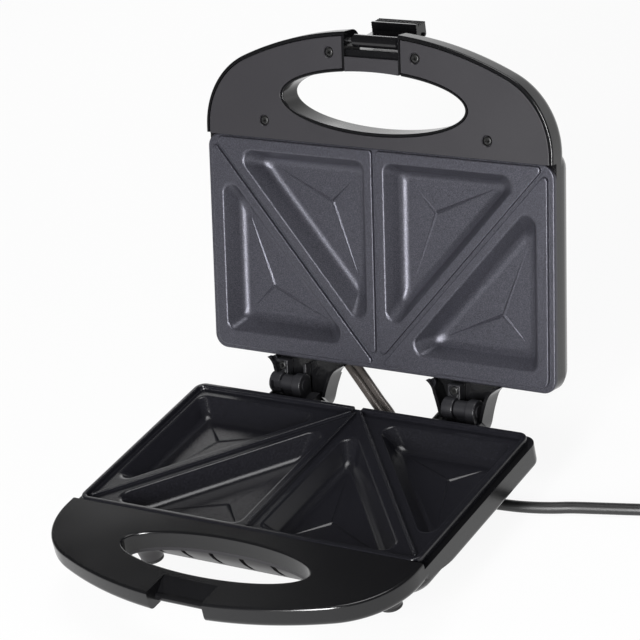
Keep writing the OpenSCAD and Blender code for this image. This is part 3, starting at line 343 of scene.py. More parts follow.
def carve(piece, how, *tools):
    """Joins, cuts or keeps the common part of closed shapes, and throws the tools away."""
    for tool in tools:
        step = piece.modifiers.new("carve", "BOOLEAN")
        step.operation, step.solver, step.object = how, "MANIFOLD", tool
        bake(piece)
        bpy.data.objects.remove(tool)
    return piece


def soften(piece, width, segments=2, angle=35):
    """Rounds the hard edges of a simple shape."""
    step = piece.modifiers.new("soft edges", "BEVEL")
    step.width, step.segments, step.limit_method = width, segments, "ANGLE"
    step.angle_limit = math.radians(angle)
    return bake(piece)


def soft_block(name, x, y, z, width, segments=2):
    return soften(block(name, x, y, z), width, segments)


def dress(piece, finish):
    piece.data.materials.clear()
    piece.data.materials.append(finish)
    return piece


def settle(piece, finish, body, stands_for=(), angle=32, place=None, even=True):
    """Gives a mesh its finish and its place, shades it and lets it ride on its body."""
    dress(piece, finish)
    piece.data.transform(place or places[body])
    shaded(piece.data, angle)
    if even:
        step = piece.modifiers.new("even shading", "WEIGHTED_NORMAL")
        step.keep_sharp = True
        step.weight = 60
    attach(piece, body)
    if stands_for:
        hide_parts(*stands_for)
    print(piece.name, len(piece.data.polygons), "faces on", body)


print("joining, cutting and placing are ready")

# %% [markdown]
# ## Finishes
# Two kinds of surface make the toaster: moulded plastic and coated aluminium. Both have small
# irregularities that catch the light, so each effect is a shader group that is built once and used
# with its own values: flecks for the non-stick coating, and a fine grain for mouldings and rubber.
# Node trees are mostly links, so two helpers keep them to one short line for each node or link.

# %% Nodes and links
def node(tree, kind, values=(), **settings):
    """A new node with its settings and the values of its inputs."""
    made = tree.nodes.new(kind)
    for label, value in settings.items():
        setattr(made, label, value)
    for label, value in dict(values).items():
        made.inputs[label].default_value = value
    return made


def math_node(tree, operation, values=()):
    return node(tree, "ShaderNodeMath", values, operation=operation)


def wire_up(tree, *links):
    """Links, each given as from node, its output, to node, its input."""
    for a, output, b, entry in links:
        tree.links.new(a.outputs[output], b.inputs[entry])


print("nodes and links take one line each")

# %% Shader groups
def shader_group(name, inputs, outputs):
    tree = bpy.data.node_groups.new(name, "ShaderNodeTree")
    sockets = tree.interface
    for label, value in inputs:
        sockets.new_socket(label, in_out="INPUT", socket_type="NodeSocketFloat").default_value = value
    for label in outputs:
        sockets.new_socket(label, in_out="OUTPUT", socket_type="NodeSocketFloat")
    return tree, tree.nodes.new("NodeGroupInput"), tree.nodes.new("NodeGroupOutput")


flecks, given, result = shader_group("coating flecks", (("Scale", 2600.0), ("Cover", 0.5), ("Soft", 0.12)),
                                     ("Mask", "Height"))
spot = node(flecks, "ShaderNodeTexCoord")
cloud = node(flecks, "ShaderNodeTexNoise", {"Detail": 1.5})
cells = node(flecks, "ShaderNodeTexVoronoi")
cut = node(flecks, "ShaderNodeMapRange")
heights = math_node(flecks, "MULTIPLY_ADD", {1: 0.6})
low_edge, high_edge = math_node(flecks, "SUBTRACT"), math_node(flecks, "ADD")
for texture in (cloud, cells):
    wire_up(flecks, (spot, "Object", texture, "Vector"), (given, "Scale", texture, "Scale"))
for edge in (low_edge, high_edge):
    wire_up(flecks, (given, "Cover", edge, 0), (given, "Soft", edge, 1))
wire_up(flecks, (cloud, "Fac", cut, "Value"), (low_edge, 0, cut, "From Min"),
        (high_edge, 0, cut, "From Max"), (cut, "Result", result, "Mask"),
        (cells, "Distance", heights, 0), (cloud, "Fac", heights, 2), (heights, 0, result, "Height"))

grain, given, result = shader_group("fine grain", (("Scale", 900.0), ("Patch scale", 18.0)),
                                    ("Grain", "Patches"))
spot = node(grain, "ShaderNodeTexCoord")
for entry, detail, output in (("Scale", 3.0, "Grain"), ("Patch scale", 2.0, "Patches")):
    noise = node(grain, "ShaderNodeTexNoise", {"Detail": detail})
    wire_up(grain, (spot, "Object", noise, "Vector"), (given, entry, noise, "Scale"),
            (noise, "Fac", result, output))
print("groups:", flecks.name, "and", grain.name)

# %% Materials
def mixed(tree, mask, low, high):
    """A colour or number that runs from low to high with the mask."""
    if isinstance(low, tuple):
        blend = node(tree, "ShaderNodeMix", data_type="RGBA")
        blend.inputs["A"].default_value = (*low, 1)
        blend.inputs["B"].default_value = (*high, 1)
        tree.links.new(mask, blend.inputs["Factor"])
    else:
        blend = node(tree, "ShaderNodeMapRange", {"To Min": low, "To Max": high})
        tree.links.new(mask, blend.inputs["Value"])
    return blend.outputs["Result"]


def material(name, group, values, masks, colours, rough, bump, depth, metal):
    """A Principled material; masks name the group's outputs for colour, roughness and bump."""
    made = bpy.data.materials.new(name)
    made.use_nodes = True
    tree = made.node_tree
    shader = tree.nodes["Principled BSDF"]
    shader.inputs["Metallic"].default_value = metal
    effect = node(tree, "ShaderNodeGroup", node_tree=group)
    for label, value in values.items():
        effect.inputs[label].default_value = value
    tree.links.new(mixed(tree, effect.outputs[masks[0]], *colours), shader.inputs["Base Color"])
    tree.links.new(mixed(tree, effect.outputs[masks[1]], *rough), shader.inputs["Roughness"])
    if bump:
        lift = node(tree, "ShaderNodeBump", {"Strength": bump, "Distance": depth})
        wire_up(tree, (effect, masks[2], lift, "Height"), (lift, "Normal", shader, "Normal"))
    return made


def coating(name, colours, rough, bump, metal):
    return material(name, flecks, {"Scale": 2300.0, "Cover": 0.52, "Soft": 0.1},
                    ("Mask", "Height", "Height"), colours, rough, bump, 0.0002, metal)


def grained(name, scale, patch_scale, colours, rough, bump=0.0, depth=0.0002, metal=0.0, mask="Patches"):
    return material(name, grain, {"Scale": scale, "Patch scale": patch_scale},
                    (mask, "Patches", "Grain"), colours, rough, bump, depth, metal)


# The two plates carry one coating as a lit and a shaded copy. The lid plate's copy is the lit one, lighter
# with painted light, as it faces the tall front lamp.
light_painted_upper_coating = coating("upper non-stick coating with painted light", ((0.042, 0.042, 0.053), (0.092, 0.092, 0.112)),
                        (0.24, 0.37), 0.3, 0.55)
# The base plate's copy, also used on the sealing ribs, is far darker with painted shade, as the flat plate
# gets little light and reflects the dark lid.
shade_painted_lower_coating = coating("lower non-stick coating with painted shade", ((0.006, 0.006, 0.008), (0.014, 0.014, 0.018)),
                        (0.12, 0.22), 0.15, 0.1)
print("the plates have", light_painted_upper_coating.name, "and", shade_painted_lower_coating.name)

# %% Plastics and rubbers
gloss_black = grained("gloss black plastic", 900, 18, ((0.0040, 0.0040, 0.0045), (0.0062, 0.0062, 0.007)),
                      (0.13, 0.24), 0.04)
charcoal = grained("charcoal satin plastic", 1500, 25, ((0.014, 0.0132, 0.0158), (0.024, 0.0225, 0.0268)),
                   (0.38, 0.5), 0.15, mask="Grain")
pan_black = grained("satin black pan", 1500, 25, ((0.012, 0.011, 0.012), (0.02, 0.019, 0.021)),
                    (0.34, 0.46), 0.15, mask="Grain")
hinge_black = grained("hinge plastic", 1200, 60, ((0.012, 0.012, 0.014), (0.02, 0.02, 0.023)),
                      (0.3, 0.45), 0.12)
rubber = grained("foot rubber", 1500, 90, ((0.012, 0.012, 0.012), (0.022, 0.022, 0.022)),
                 (0.62, 0.8), 0.25, 0.0003)
cord_black = grained("cord PVC", 1400, 70, ((0.010, 0.010, 0.010), (0.018, 0.018, 0.018)),
                     (0.36, 0.5), 0.12)
white_wire = grained("white wire insulation", 1500, 90, ((0.7, 0.7, 0.68), (0.8, 0.8, 0.78)),
                     (0.4, 0.55), 0.1, 0.0001)
sleeve_brown = grained("glass-fibre sleeve", 1300, 160, ((0.05, 0.042, 0.038), (0.16, 0.145, 0.135)),
                       (0.22, 0.36), 0.3, 0.0003, 0.45, "Grain")

# %% Metals, ceramic and lenses
black_steel = grained("blackened screw steel", 2000, 300, ((0.02, 0.02, 0.02), (0.05, 0.05, 0.05)),
                      (0.3, 0.5), 0.1, 0.0001, 0.7)
bright_steel = grained("bright steel", 1800, 200, ((0.42, 0.42, 0.43), (0.6, 0.6, 0.61)),
                       (0.2, 0.38), 0.1, 0.0001, 1.0)
heater_grey = grained("oxidised heater steel", 1500, 120, ((0.16, 0.155, 0.15), (0.3, 0.29, 0.28)),
                      (0.35, 0.55), 0.15, metal=0.9)
aluminium = grained("shield aluminium", 700, 40, ((0.55, 0.56, 0.57), (0.7, 0.71, 0.72)),
                    (0.28, 0.45), 0.15, metal=1.0)
nickel = grained("nickelled brass", 1800, 250, ((0.62, 0.58, 0.5), (0.75, 0.71, 0.62)),
                 (0.15, 0.3), 0.05, 0.0001, 1.0)
ceramic = grained("cream ceramic", 1500, 80, ((0.6, 0.57, 0.48), (0.7, 0.67, 0.58)), (0.45, 0.6), 0.15)
red_glow = grained("red lens", 900, 120, ((0.42, 0.008, 0.006), (0.5, 0.015, 0.01)), (0.1, 0.18))
green_glow = grained("green lens", 900, 120, ((0.01, 0.22, 0.03), (0.02, 0.3, 0.05)), (0.1, 0.18))
lamp_glass = grained("lamp glass", 900, 120, ((0.75, 0.5, 0.35), (0.85, 0.6, 0.42)), (0.08, 0.15))
print(len(bpy.data.materials), "materials")

# %% [markdown]
# ## Worktop, background and light
# The worktop and the room are plain white. The object's own brightness comes from a tall soft lamp
# in front, a wide one above, a weak card behind it on the left and a dim room. The white that the
# camera sees is set apart with Light Path, so the background stays white without more light on the
# toaster, and the floor keeps a soft shadow. Shiny surfaces see a white sheet that stands behind the
# toaster in a darker room.

# %% Worktop
white = {"Color": (1, 1, 1, 1)}
floor = new_piece("worktop", bpy.data.meshes.new("worktop"))
floor.data.from_pydata([(-6, -6, 0), (6, -6, 0), (6, 6, 0), (-6, 6, 0)], [], [(0, 1, 2, 3)])
white_top = bpy.data.materials.new("white worktop")
white_top.use_nodes = True
tree = white_top.node_tree
matt = tree.nodes["Principled BSDF"]
for label, value in (("Base Color", (0.86, 0.86, 0.86, 1)), ("Roughness", 0.9),
                     ("Specular IOR Level", 0.1)):
    matt.inputs[label].default_value = value
clean = node(tree, "ShaderNodeEmission", white)
path = node(tree, "ShaderNodeLightPath")
seen = math_node(tree, "MAXIMUM")
share = math_node(tree, "MULTIPLY", {1: 0.92})
both = node(tree, "ShaderNodeMixShader")
wire_up(tree, (path, "Is Camera Ray", seen, 0), (path, "Is Glossy Ray", seen, 1), (seen, 0, share, 0),
        (share, 0, both, "Fac"), (matt, 0, both, 1), (clean, 0, both, 2),
        (both, 0, tree.nodes["Material Output"], "Surface"))
dress(floor, white_top)
print("worktop:", floor.dimensions.x, "m wide")

# %% Room
room = bpy.data.worlds.new("white room")
bpy.context.scene.world = room
room.use_nodes = True
tree = room.node_tree
tree.nodes.clear()
out = node(tree, "ShaderNodeOutputWorld")
soft, bright, dim = [node(tree, "ShaderNodeBackground", {**white, "Strength": strength})
                     for strength in (0.18, 1.0, 0.07)]
heading = node(tree, "ShaderNodeTexCoord")
parts = node(tree, "ShaderNodeSeparateXYZ")
behind, below = [node(tree, "ShaderNodeMapRange", {"From Min": start, "From Max": end},
                      interpolation_type="SMOOTHSTEP") for start, end in ((0.1, 0.7), (0.5, 0.1))]
sheet, clear = math_node(tree, "MULTIPLY"), math_node(tree, "MAXIMUM")
path = node(tree, "ShaderNodeLightPath")
reflected, shiny, both = [node(tree, "ShaderNodeMixShader") for _ in range(3)]
wire_up(tree, (heading, "Generated", parts, 0), (parts, "Y", behind, "Value"),
        (parts, "Z", below, "Value"), (behind, "Result", sheet, 0), (below, "Result", sheet, 1),
        (sheet, 0, reflected, "Fac"), (dim, 0, reflected, 1), (bright, 0, reflected, 2),
        (path, "Is Glossy Ray", shiny, "Fac"), (soft, 0, shiny, 1), (reflected, 0, shiny, 2),
        (path, "Is Camera Ray", clear, 0), (path, "Is Transmission Ray", clear, 1),
        (clear, 0, both, "Fac"), (shiny, 0, both, 1), (bright, 0, both, 2), (both, 0, out, "Surface"))
print("room and worktop are white")

# %% Lamps
for name, place, aim, width, height, power in (
        ("tall front lamp", (0.27, -1.35, 0.52), (0, 0.05, 0.15), 0.26, 0.85, 34),
        ("card behind left", (-0.592, 0.689, 0.376), (-0.06, 0, 0.04), 0.5, 0.28, 0.75),
        ("soft lamp above", (0.1, 0.2, 1.9), (0, 0, 0), 0.8, 0.8, 11)):
    data = bpy.data.lights.new(name, "AREA")
    data.shape, data.size, data.size_y, data.energy = "RECTANGLE", width, height, power
    light = new_piece(name, data)
    light.location = place
    light.rotation_euler = (Vector(aim) - Vector(place)).to_track_quat("-Z", "Y").to_euler()
    print(name, power, "W")
bpy.context.scene.view_settings.view_transform = "Standard"

# %% [markdown]
# ## Cooking plates
# Each cast plate has four triangular pockets with a rounded mouth, a sloping wall and a wide fillet
# into the floor. The triangles with round corners are worked out exactly, ring by ring, so each
# pocket is one smooth skin. The flat between the pockets is filled with a constrained
# triangulation, and stays flat-shaded so that its reflections are even.

# %% Rounded triangles
def rounded_triangle(t, insets, radii, n=8):
    """Triangle t, counter-clockwise, with each side moved in and each corner rounded."""
    corners = [np.array(p, float) for p in t]
    normals, out = [], []
    for a, b in zip(corners, corners[1:] + corners[:1]):
        d = (b - a) / np.linalg.norm(b - a)
        normals.append(np.array((d[1], -d[0])))
    for i, r in enumerate(radii):
        before, after = normals[i - 1], normals[i]
        x, y = corners[i] + np.linalg.solve(np.array((before, after)),
                                            np.array((-(insets[i - 1] + r), -(insets[i] + r))))
        a0, a1 = math.atan2(before[1], before[0]), math.atan2(after[1], after[0])
        a1 += 2 * math.pi if a1 < a0 else 0
        turns = [a0 + (a1 - a0) * k / n for k in range(n + 1)]
        out += [(float(x + r * math.cos(a)), float(y + r * math.sin(a))) for a in turns]
    return out


print("a triangle has", len(rounded_triangle([(0, 0), (9, 0), (0, 9)], [0] * 3, [1] * 3)), "points")

# %% Layout of the pockets
slope = half_plate / plate_d
pocket_x, pocket_back, pocket_front = half_plate - border_x, -border_y, -plate_d + border_front
land_r = 2.2
mouth_corners, floor_corners = [5.5, 6.5, 6.5], [3.5, 2.0, 2.0]
divider_shift = border_divider * math.sqrt(1 + slope * slope)


def pockets(groove):
    """For each pocket: its corners, the corners of its land, and the land's insets and radii."""
    found = []
    for side in (-1, 1):
        rear = ([(side * pocket_x, pocket_back),
                 (side * pocket_x, -(pocket_x - divider_shift) / slope),
                 (side * (-pocket_back * slope + divider_shift), pocket_back)],
                [(side * half_plate, 0), (side * half_plate, -plate_d), (0, 0)],
                [0, groove, 0], [plate_corner_r, land_r, land_r])
        front = ([(side * border_divider, pocket_front),
                  (side * border_divider, -(border_divider + divider_shift) / slope),
                  (side * (-pocket_front * slope - divider_shift), pocket_front)],
                 [(0, -plate_d), (0, 0), (side * half_plate, -plate_d)],
                 [groove, groove, 0], [land_r] * 3)
        for t, land, insets, radii in (rear, front):
            area = ((t[1][0] - t[0][0]) * (t[2][1] - t[0][1])
                    - (t[2][0] - t[0][0]) * (t[1][1] - t[0][1]))
            if area < 0:
                t, land = [t[0], t[2], t[1]], [land[0], land[2], land[1]]
                insets, radii = insets[::-1], [radii[0], radii[2], radii[1]]
            found.append((t, land, insets, radii))
    return found


print("pockets:", len(pockets(0)))

# %% Wall of a pocket
mouth_r, floor_r, wall_tilt = 1.6, 6.5, math.radians(60)
wall_run = (pocket_depth - (mouth_r + floor_r) * (1 - math.cos(wall_tilt))) / math.sin(wall_tilt)


def pocket_profile():
    """Pairs (drawn in, depth) down a pocket's wall: mouth, straight wall and fillet."""
    mouth = [wall_tilt * i / 8 for i in range(9)]
    fillet = [wall_tilt * (1 - i / 12) for i in range(13)]
    pairs = [(mouth_r * math.sin(a), mouth_r * (1 - math.cos(a))) for a in mouth]
    x, z = pairs[-1]
    x += wall_run * math.cos(wall_tilt)
    z += wall_run * math.sin(wall_tilt)
    return pairs + [(x + floor_r * (math.sin(wall_tilt) - math.sin(a)),
                     z + floor_r * (math.cos(a) - math.cos(wall_tilt))) for a in fillet]


pocket_run = pocket_profile()[-1][0]


def corners_at(d, grow=0.0):
    """The three corner radii of a pocket at d inside its mouth."""
    share = min(max(d / pocket_run, 0), 1)
    return [a + (b - a) * share + grow for a, b in zip(mouth_corners, floor_corners)]


print("pocket wall ends", [round(v, 2) for v in pocket_profile()[-1]])

# %% Flat parts with holes
def inside(loop, x, y):
    hit = False
    for (x0, y0), (x1, y1) in zip(loop, loop[1:] + loop[:1]):
        if (y0 > y) != (y1 > y) and x < (x1 - x0) * (y - y0) / (y1 - y0) + x0:
            hit = not hit
    return hit


def fill_flat(bm, outer, holes):
    """Flat faces between a ring of vertices and the rings inside it, left flat-shaded."""
    loops = [outer, *holes]
    verts = [v for loop in loops for v in loop]
    edges, first = [], 0
    for loop in loops:
        edges += [(first + i, first + (i + 1) % len(loop)) for i in range(len(loop))]
        first += len(loop)
    found = delaunay_2d_cdt([v.co.xy for v in verts], edges, [], 0, 1e-7)
    spots, faces, origin = found[0], found[2], found[3]
    outline = [tuple(v.co.xy) for v in outer]
    hollow = [[tuple(v.co.xy) for v in loop] for loop in holes]
    for face in faces:
        x = sum(spots[i].x for i in face) / len(face)
        y = sum(spots[i].y for i in face) / len(face)
        if inside(outline, x, y) and not any(inside(h, x, y) for h in hollow):
            bm.faces.new([verts[origin[i][0]] for i in face])


# %% Marks, bowls and the last steps of a plate
mark_profile = ((0, 1.05, 0.62), (0.12, 1.1, 0.66), (0.4, 0.85, 0.5), (0.75, 0.5, 0.28), (1.0, 0.12, 0.04))
mark_longest, mark_margin, mark_root = 42, 20, 0.4


def middle(t):
    p = [np.array(q, float) for q in t]
    w = [np.linalg.norm(p[1] - p[2]), np.linalg.norm(p[2] - p[0]), np.linalg.norm(p[0] - p[1])]
    return sum(a * b for a, b in zip(w, p)) / sum(w)


def add_mark(bm, t, z, up):
    """The raised three-armed mark on a pocket's floor: three ridges that fade outwards."""
    c = middle(t)
    for corner in t:
        v = np.array(corner, float) - c
        length = min(float(np.linalg.norm(v)) - mark_margin, mark_longest)
        v = v / np.linalg.norm(v)
        w = np.array((-v[1], v[0]))
        rings = []
        for share, half, high in mark_profile:
            m = c + v * (length * share - 0.5)
            rings.append([(*(m - w * half), z), (*m, z + up * high), (*(m + w * half), z),
                          (*m, z - up * mark_root)])
        skin(bm, rings)


def pocket_skin(bm, t, face_z, up):
    """The skin of one pocket, from its mouth to its floor. Gives the ring at its mouth."""
    rings = [at(rounded_triangle(t, [d] * 3, corners_at(d)), face_z + up * z) for d, z in pocket_profile()]
    return skin(bm, rings, cap_first=False)[0]


def plate_back(bm, outer, face_z, up, back_z):
    """The hidden side of a plate: a flat with a bowl round each pocket."""
    bowl_edge, coarse, holes = -1.2, 5, []
    for t, *_ in pockets(0):
        rings = [at(rounded_triangle(t, [bowl_edge] * 3, corners_at(0, plate_t), coarse), back_z)]
        for d, depth in pocket_profile()[8::4]:
            rings.append(at(rounded_triangle(t, [d - plate_t] * 3, corners_at(d, plate_t), coarse),
                            face_z + up * (depth + plate_t)))
        holes.append(skin(bm, rings, cap_first=False)[0])
    fill_flat(bm, outer, holes)


def finish_plate(name, mesh, coating, body, node_name, floor_z, up, flat_z):
    """Adds the marks, keeps the flats flat and puts the plate in its place."""
    marks, whole = bmesh.new(), bmesh.new()
    for t, *_ in pockets(0):
        add_mark(marks, t, floor_z, up)
    whole.from_mesh(mesh)
    whole.from_mesh(finish_mesh(marks, "marks"))
    whole.to_mesh(mesh)
    whole.free()
    plate = dress(new_piece(name, mesh), coating)
    shaded(mesh, 40)
    for face in mesh.polygons:
        level = abs(face.normal.z) > 0.9999
        if level and any(abs(face.center.z - z) < 0.002 for z in flat_z):
            face.use_smooth = False
    mesh.transform(places[body])
    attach(plate, body)
    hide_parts(node_name)
    print(name, len(mesh.polygons), "faces on", body)


# %% Lower plate
lip_round = 0.8
lip_profile = ([(0, -rim_drop), (0, -2.5)] + edge_out(lip_round, 0)
               + [(lip_w - d, z) for d, z in edge_out(lip_round, 0)][::-1]
               + [(lip_w, -lip_h + 0.5), (lip_w + 0.15, -lip_h + 0.15), (lip_w + 0.5, -lip_h)])
bm = bmesh.new()
rows = skin(bm, [at(box_outline(half_plate, -plate_d, 0, plate_corner_r, d), z)
                 for d, z in lip_profile], False, False)
fill_flat(bm, rows[-1], [pocket_skin(bm, t, -lip_h, -1) for t, *_ in pockets(0)])
plate_back(bm, rows[0], -lip_h, -1, -rim_drop)
plate_body = carve(new_piece("plate body", finish_mesh(bm, "lower plate")), "DIFFERENCE", moulding(
    "lip gap", lambda d: box_outline(3.6 - d, -lip_w - 1.5, 1.5, 0.5, 0, 2),
    [(0.8, -lip_h + 0.03), (0.8, -0.8), (0.6, -0.3), (0.2, -0.04), (0, 0), (0, 1)]))
mesh = plate_body.data
bpy.data.objects.remove(plate_body)
lower_floor_z = -lip_h - pocket_depth
finish_plate("lower_cooking_plate", mesh, shade_painted_lower_coating, "base", "base_plate",
             lower_floor_z, 1, (-lip_h, lower_floor_z, -rim_drop))

# %% Upper plate
groove, land_edge, flange_round = 1.25, 0.6, 0.9
flange = [(0, rim_drop), (0, flange_step + flange_round)] + edge_out(flange_round, flange_step, -1)[1:]
bm = bmesh.new()
rows = skin(bm, [at(box_outline(half_plate + flange_w, -plate_d - 1.2, flange_back,
                                plate_corner_r + 2, d), z) for d, z in flange], False, False)
lands = []
for t, land, insets, radii in pockets(groove):
    rings = [at(rounded_triangle(land, insets, radii), flange_step)]
    rings += [at(rounded_triangle(land, [i + d for i in insets], radii), z)
              for d, z in edge_out(land_edge, 0, -1, 5)]
    rim = skin(bm, rings, False, False)
    lands.append(rim[0])
    fill_flat(bm, rim[-1], [pocket_skin(bm, t, 0, 1)])
fill_flat(bm, rows[-1], lands)
plate_back(bm, rows[0], 0, 1, rim_drop)
finish_plate("upper_cooking_plate", finish_mesh(bm, "upper plate"), light_painted_upper_coating, "lid", "lid_plate",
             pocket_depth, -1, (0, flange_step, pocket_depth, rim_drop))

# %% [markdown]
# ## Repeated details
# Screws, teeth, ridges and vent slots repeat, so they are made once and set out by two small geometry
# node trees. One repeats a piece's own mesh in a row at an even pitch. The other puts an object on
# each point of a mesh with a small random turn from a fixed seed, as screws never stop alike.

# %% Node trees for repeats
def repeat_tree(name, *inputs):
    tree = bpy.data.node_groups.new(name, "GeometryNodeTree")
    for label, kind in (("Geometry", "Geometry"), *inputs, ("Finish", "Material")):
        tree.interface.new_socket(label, in_out="INPUT", socket_type="NodeSocket" + kind)
    tree.interface.new_socket("Geometry", in_out="OUTPUT", socket_type="NodeSocketGeometry")
    start, end = node(tree, "NodeGroupInput"), node(tree, "NodeGroupOutput")
    spread, real, paint = [node(tree, "GeometryNode" + kind)
                           for kind in ("InstanceOnPoints", "RealizeInstances", "SetMaterial")]
    wire_up(tree, (spread, "Instances", real, "Geometry"), (real, "Geometry", paint, "Geometry"),
            (start, "Finish", paint, "Material"), (paint, "Geometry", end, "Geometry"))
    return tree, start, spread


row_tree, start, spread = repeat_tree("repeat in a row", ("Count", "Int"), ("Pitch", "Vector"))
row_line = node(row_tree, "GeometryNodeMeshLine", mode="OFFSET")
wire_up(row_tree, (start, "Count", row_line, "Count"), (start, "Pitch", row_line, "Offset"),
        (row_line, "Mesh", spread, "Points"), (start, "Geometry", spread, "Instance"))

place_tree, start, spread = repeat_tree("one on each place", ("Object", "Object"), ("Turn", "Float"),
                                        ("Seed", "Int"))
fetch = node(place_tree, "GeometryNodeObjectInfo")
turn = node(place_tree, "FunctionNodeRandomValue", data_type="FLOAT")
about_z = node(place_tree, "ShaderNodeCombineXYZ")
wire_up(place_tree, (start, "Geometry", spread, "Points"), (start, "Object", fetch, "Object"),
        (fetch, "Geometry", spread, "Instance"), (start, "Turn", turn, 3), (start, "Seed", turn, "Seed"),
        (turn, 1, about_z, "Z"), (about_z, 0, spread, "Rotation"))
print("node trees:", row_tree.name, "and", place_tree.name)

# %% Run the trees
def run_tree(piece, tree, **values):
    step = piece.modifiers.new("repeat", "NODES")
    step.node_group = tree
    for item in tree.interface.items_tree:
        if item.item_type == "SOCKET" and item.in_out == "INPUT" and item.name in values:
            step[item.identifier] = values[item.name]
    return bake(piece)


def in_a_row(piece, count, pitch, finish):
    return run_tree(piece, row_tree, Count=count, Pitch=pitch, Finish=finish)


def on_places(name, places, thing, finish, turn_most=1.5, seed=3):
    """Copies of one object on the given places; the object itself is thrown away."""
    mesh = bpy.data.meshes.new(name)
    mesh.from_pydata(places, [], [])
    piece = run_tree(new_piece(name, mesh), place_tree, Object=thing, Turn=turn_most, Seed=seed,
                     Finish=finish)
    bpy.data.objects.remove(thing)
    return piece


# %% Round-rimmed holes
def flared(z0, r0, z1, r1):
    """Pairs (grown by, height) of a hole whose two rims are rounded."""
    return ([(r0 + 0.3, z0 - 1)] + edge_out(r0, z0, -1, 5)[::-1] + edge_out(r1, z1, 1, 5)
            + [(r1 + 0.3, z1 + 1)])


def grip_hole(z0, r0, z1, r1):
    return moulding("grip hole", grip_outline, flared(z0, r0, z1, r1))


print("tools for cutting are ready")

# %% [markdown]
# ## Upper case
# The lid's shell is the handle outline with a large soft edge, joined to a crowned back over the
# plate. The crown is a stack of rounded rectangles that draw in faster and faster, so its shoulder
# is soft. The seat of the handle's cover, the finger opening, the latch notch and the two lens
# holes are cut out of the joined solid, as a mould would leave them.

# %% Shell of the lid
case_in_x, case_in_back = half_case - wall, case_back - wall
dome_front, bridge_y, lid_split_y = -(plate_d + 8), -(plate_d + 6), -(plate_d + 1.3)
notch_x, lid_notch_y, base_notch_y = notch_w / 2, latch_y + 8.3, latch_y + 11.5
crown_low = lid_top - 4.5
crown_steps = smooth_run([(0, 0), (1.6, 0.22), (5.5, 0.46), (11, 0.65), (19, 0.84), (29, 0.95), (40, 1)], 3)
ledge = box_outline(half_plate - 5, -plate_d + 4, -4, 4, 0, 4)
cover_z = relief + 2.5


def crown(name, t):
    pairs = [(0, rim_drop + wall)] + [(c, crown_low + h * (lid_h - crown_low) - (t if h > 0 else 0))
                                      for c, h in crown_steps]
    return moulding(name, lambda c: box_outline(half_case, dome_front, case_back,
                                                case_corner_r + 1.3 * c + t, c + t, 10), pairs)


upper_case = moulding("upper_case", case_outline,
                      edge_out(1, relief, -1, 4)[::-1] + edge_out(8, lid_top, 1, 10))
carve(upper_case, "UNION", crown("crown", 0))
print("shell of the lid:", len(upper_case.data.polygons), "faces")

# %% Hinge shrouds
shelf_x = hinge_x - 2.7
shroud_y0, shroud_y1 = case_back - 0.4, hinge_back + 11.4
shroud_low, shroud_wall, closed_low = lid_hinge_z - 1.9, 2.0, -4.8
shroud_bends = [(0, shroud_y0), (0.26, shroud_y0 + 2.2), (0.46, shroud_y0 + 5.5), (0.72, 17),
                (0.88, shroud_y1 - 3.5), (1, shroud_y1)]


def shroud(edge_left, edge_right, tip_left, tip_right):
    """A tray that flares out of the lid's back edge over a hinge, with two side walls."""
    bends = smooth_run(shroud_bends, 4)

    def sides(inward):
        return ([(edge_right + (tip_right - edge_right) * f - inward, y) for f, y in bends]
                + [(edge_left + (tip_left - edge_left) * f + inward, y) for f, y in bends[::-1]])

    inner = sides(shroud_wall)
    n = len(bends)
    inner = [(inner[0][0], shroud_y0 - 3), *inner[:n - 3], *inner[n + 3:],
             (inner[-1][0], shroud_y0 - 3)]
    piece = prism("shroud", sides(0), shroud_low, rim_drop + 2)
    hollow = prism("hollow", inner, shroud_low - 1, rim_drop - 0.5)
    foot = bar_along_x("foot", [(shroud_y0 - 6, shroud_low - 1), (case_back + 7, shroud_low - 1),
                                (case_back + 6, shroud_low), (case_back + 0.6, closed_low),
                                (shroud_y0 - 6, closed_low)],
                       edge_left - 5, edge_right + 5)
    tip = bar_along_x("tip", [(shroud_y1 - 7, shroud_low - 1), (shroud_y1 + 1, shroud_low - 1),
                              (shroud_y1 + 1, rim_drop - 1.5), (shroud_y1 - 1.5, rim_drop - 3.5)],
                      edge_left - 5, edge_right + 5)
    return carve(piece, "DIFFERENCE", hollow, foot, tip)


carve(upper_case, "UNION", shroud(-72.5, -22.0, -62.0, -35.0), shroud(34.5, 79.7, 45.5, 69.5))
print("shrouds reach", round(shroud_y1, 1), "mm behind the plate")

# %% Openings of the lid
seat = prism("seat", case_outline(2), -1, cover_z)
carve(seat, "INTERSECT", block("front", (-half_case, half_case), (front_y, lid_split_y), (-2, 8)))
strip_x, hole_y = notch_x + 1.7, grip_mid_y - grip_h / 2
ring = carve(prism("ring", grip_outline(1.5), -2, 8), "DIFFERENCE",
             block("strip", (-strip_x, strip_x), (front_y, grip_mid_y), (-3, 9)))
carve(seat, "DIFFERENCE", ring,
      *both_sides("notch wall", notch_x, strip_x - 0.4, (front_y - 1, hole_y), (-2, 8)))
notch = prism("notch", [(-notch_x, front_y - 5), (notch_x, front_y - 5)]
              + arc(notch_x - 1.5, lid_notch_y - 1.5, 1.5, 0, 90, 5)
              + arc(-notch_x + 1.5, lid_notch_y - 1.5, 1.5, 90, 180, 5), -1, lid_top + 1)
way_out = prism("way out", box_outline(7, -4.5, 4.5, 3, 0, 6), -6, 6)
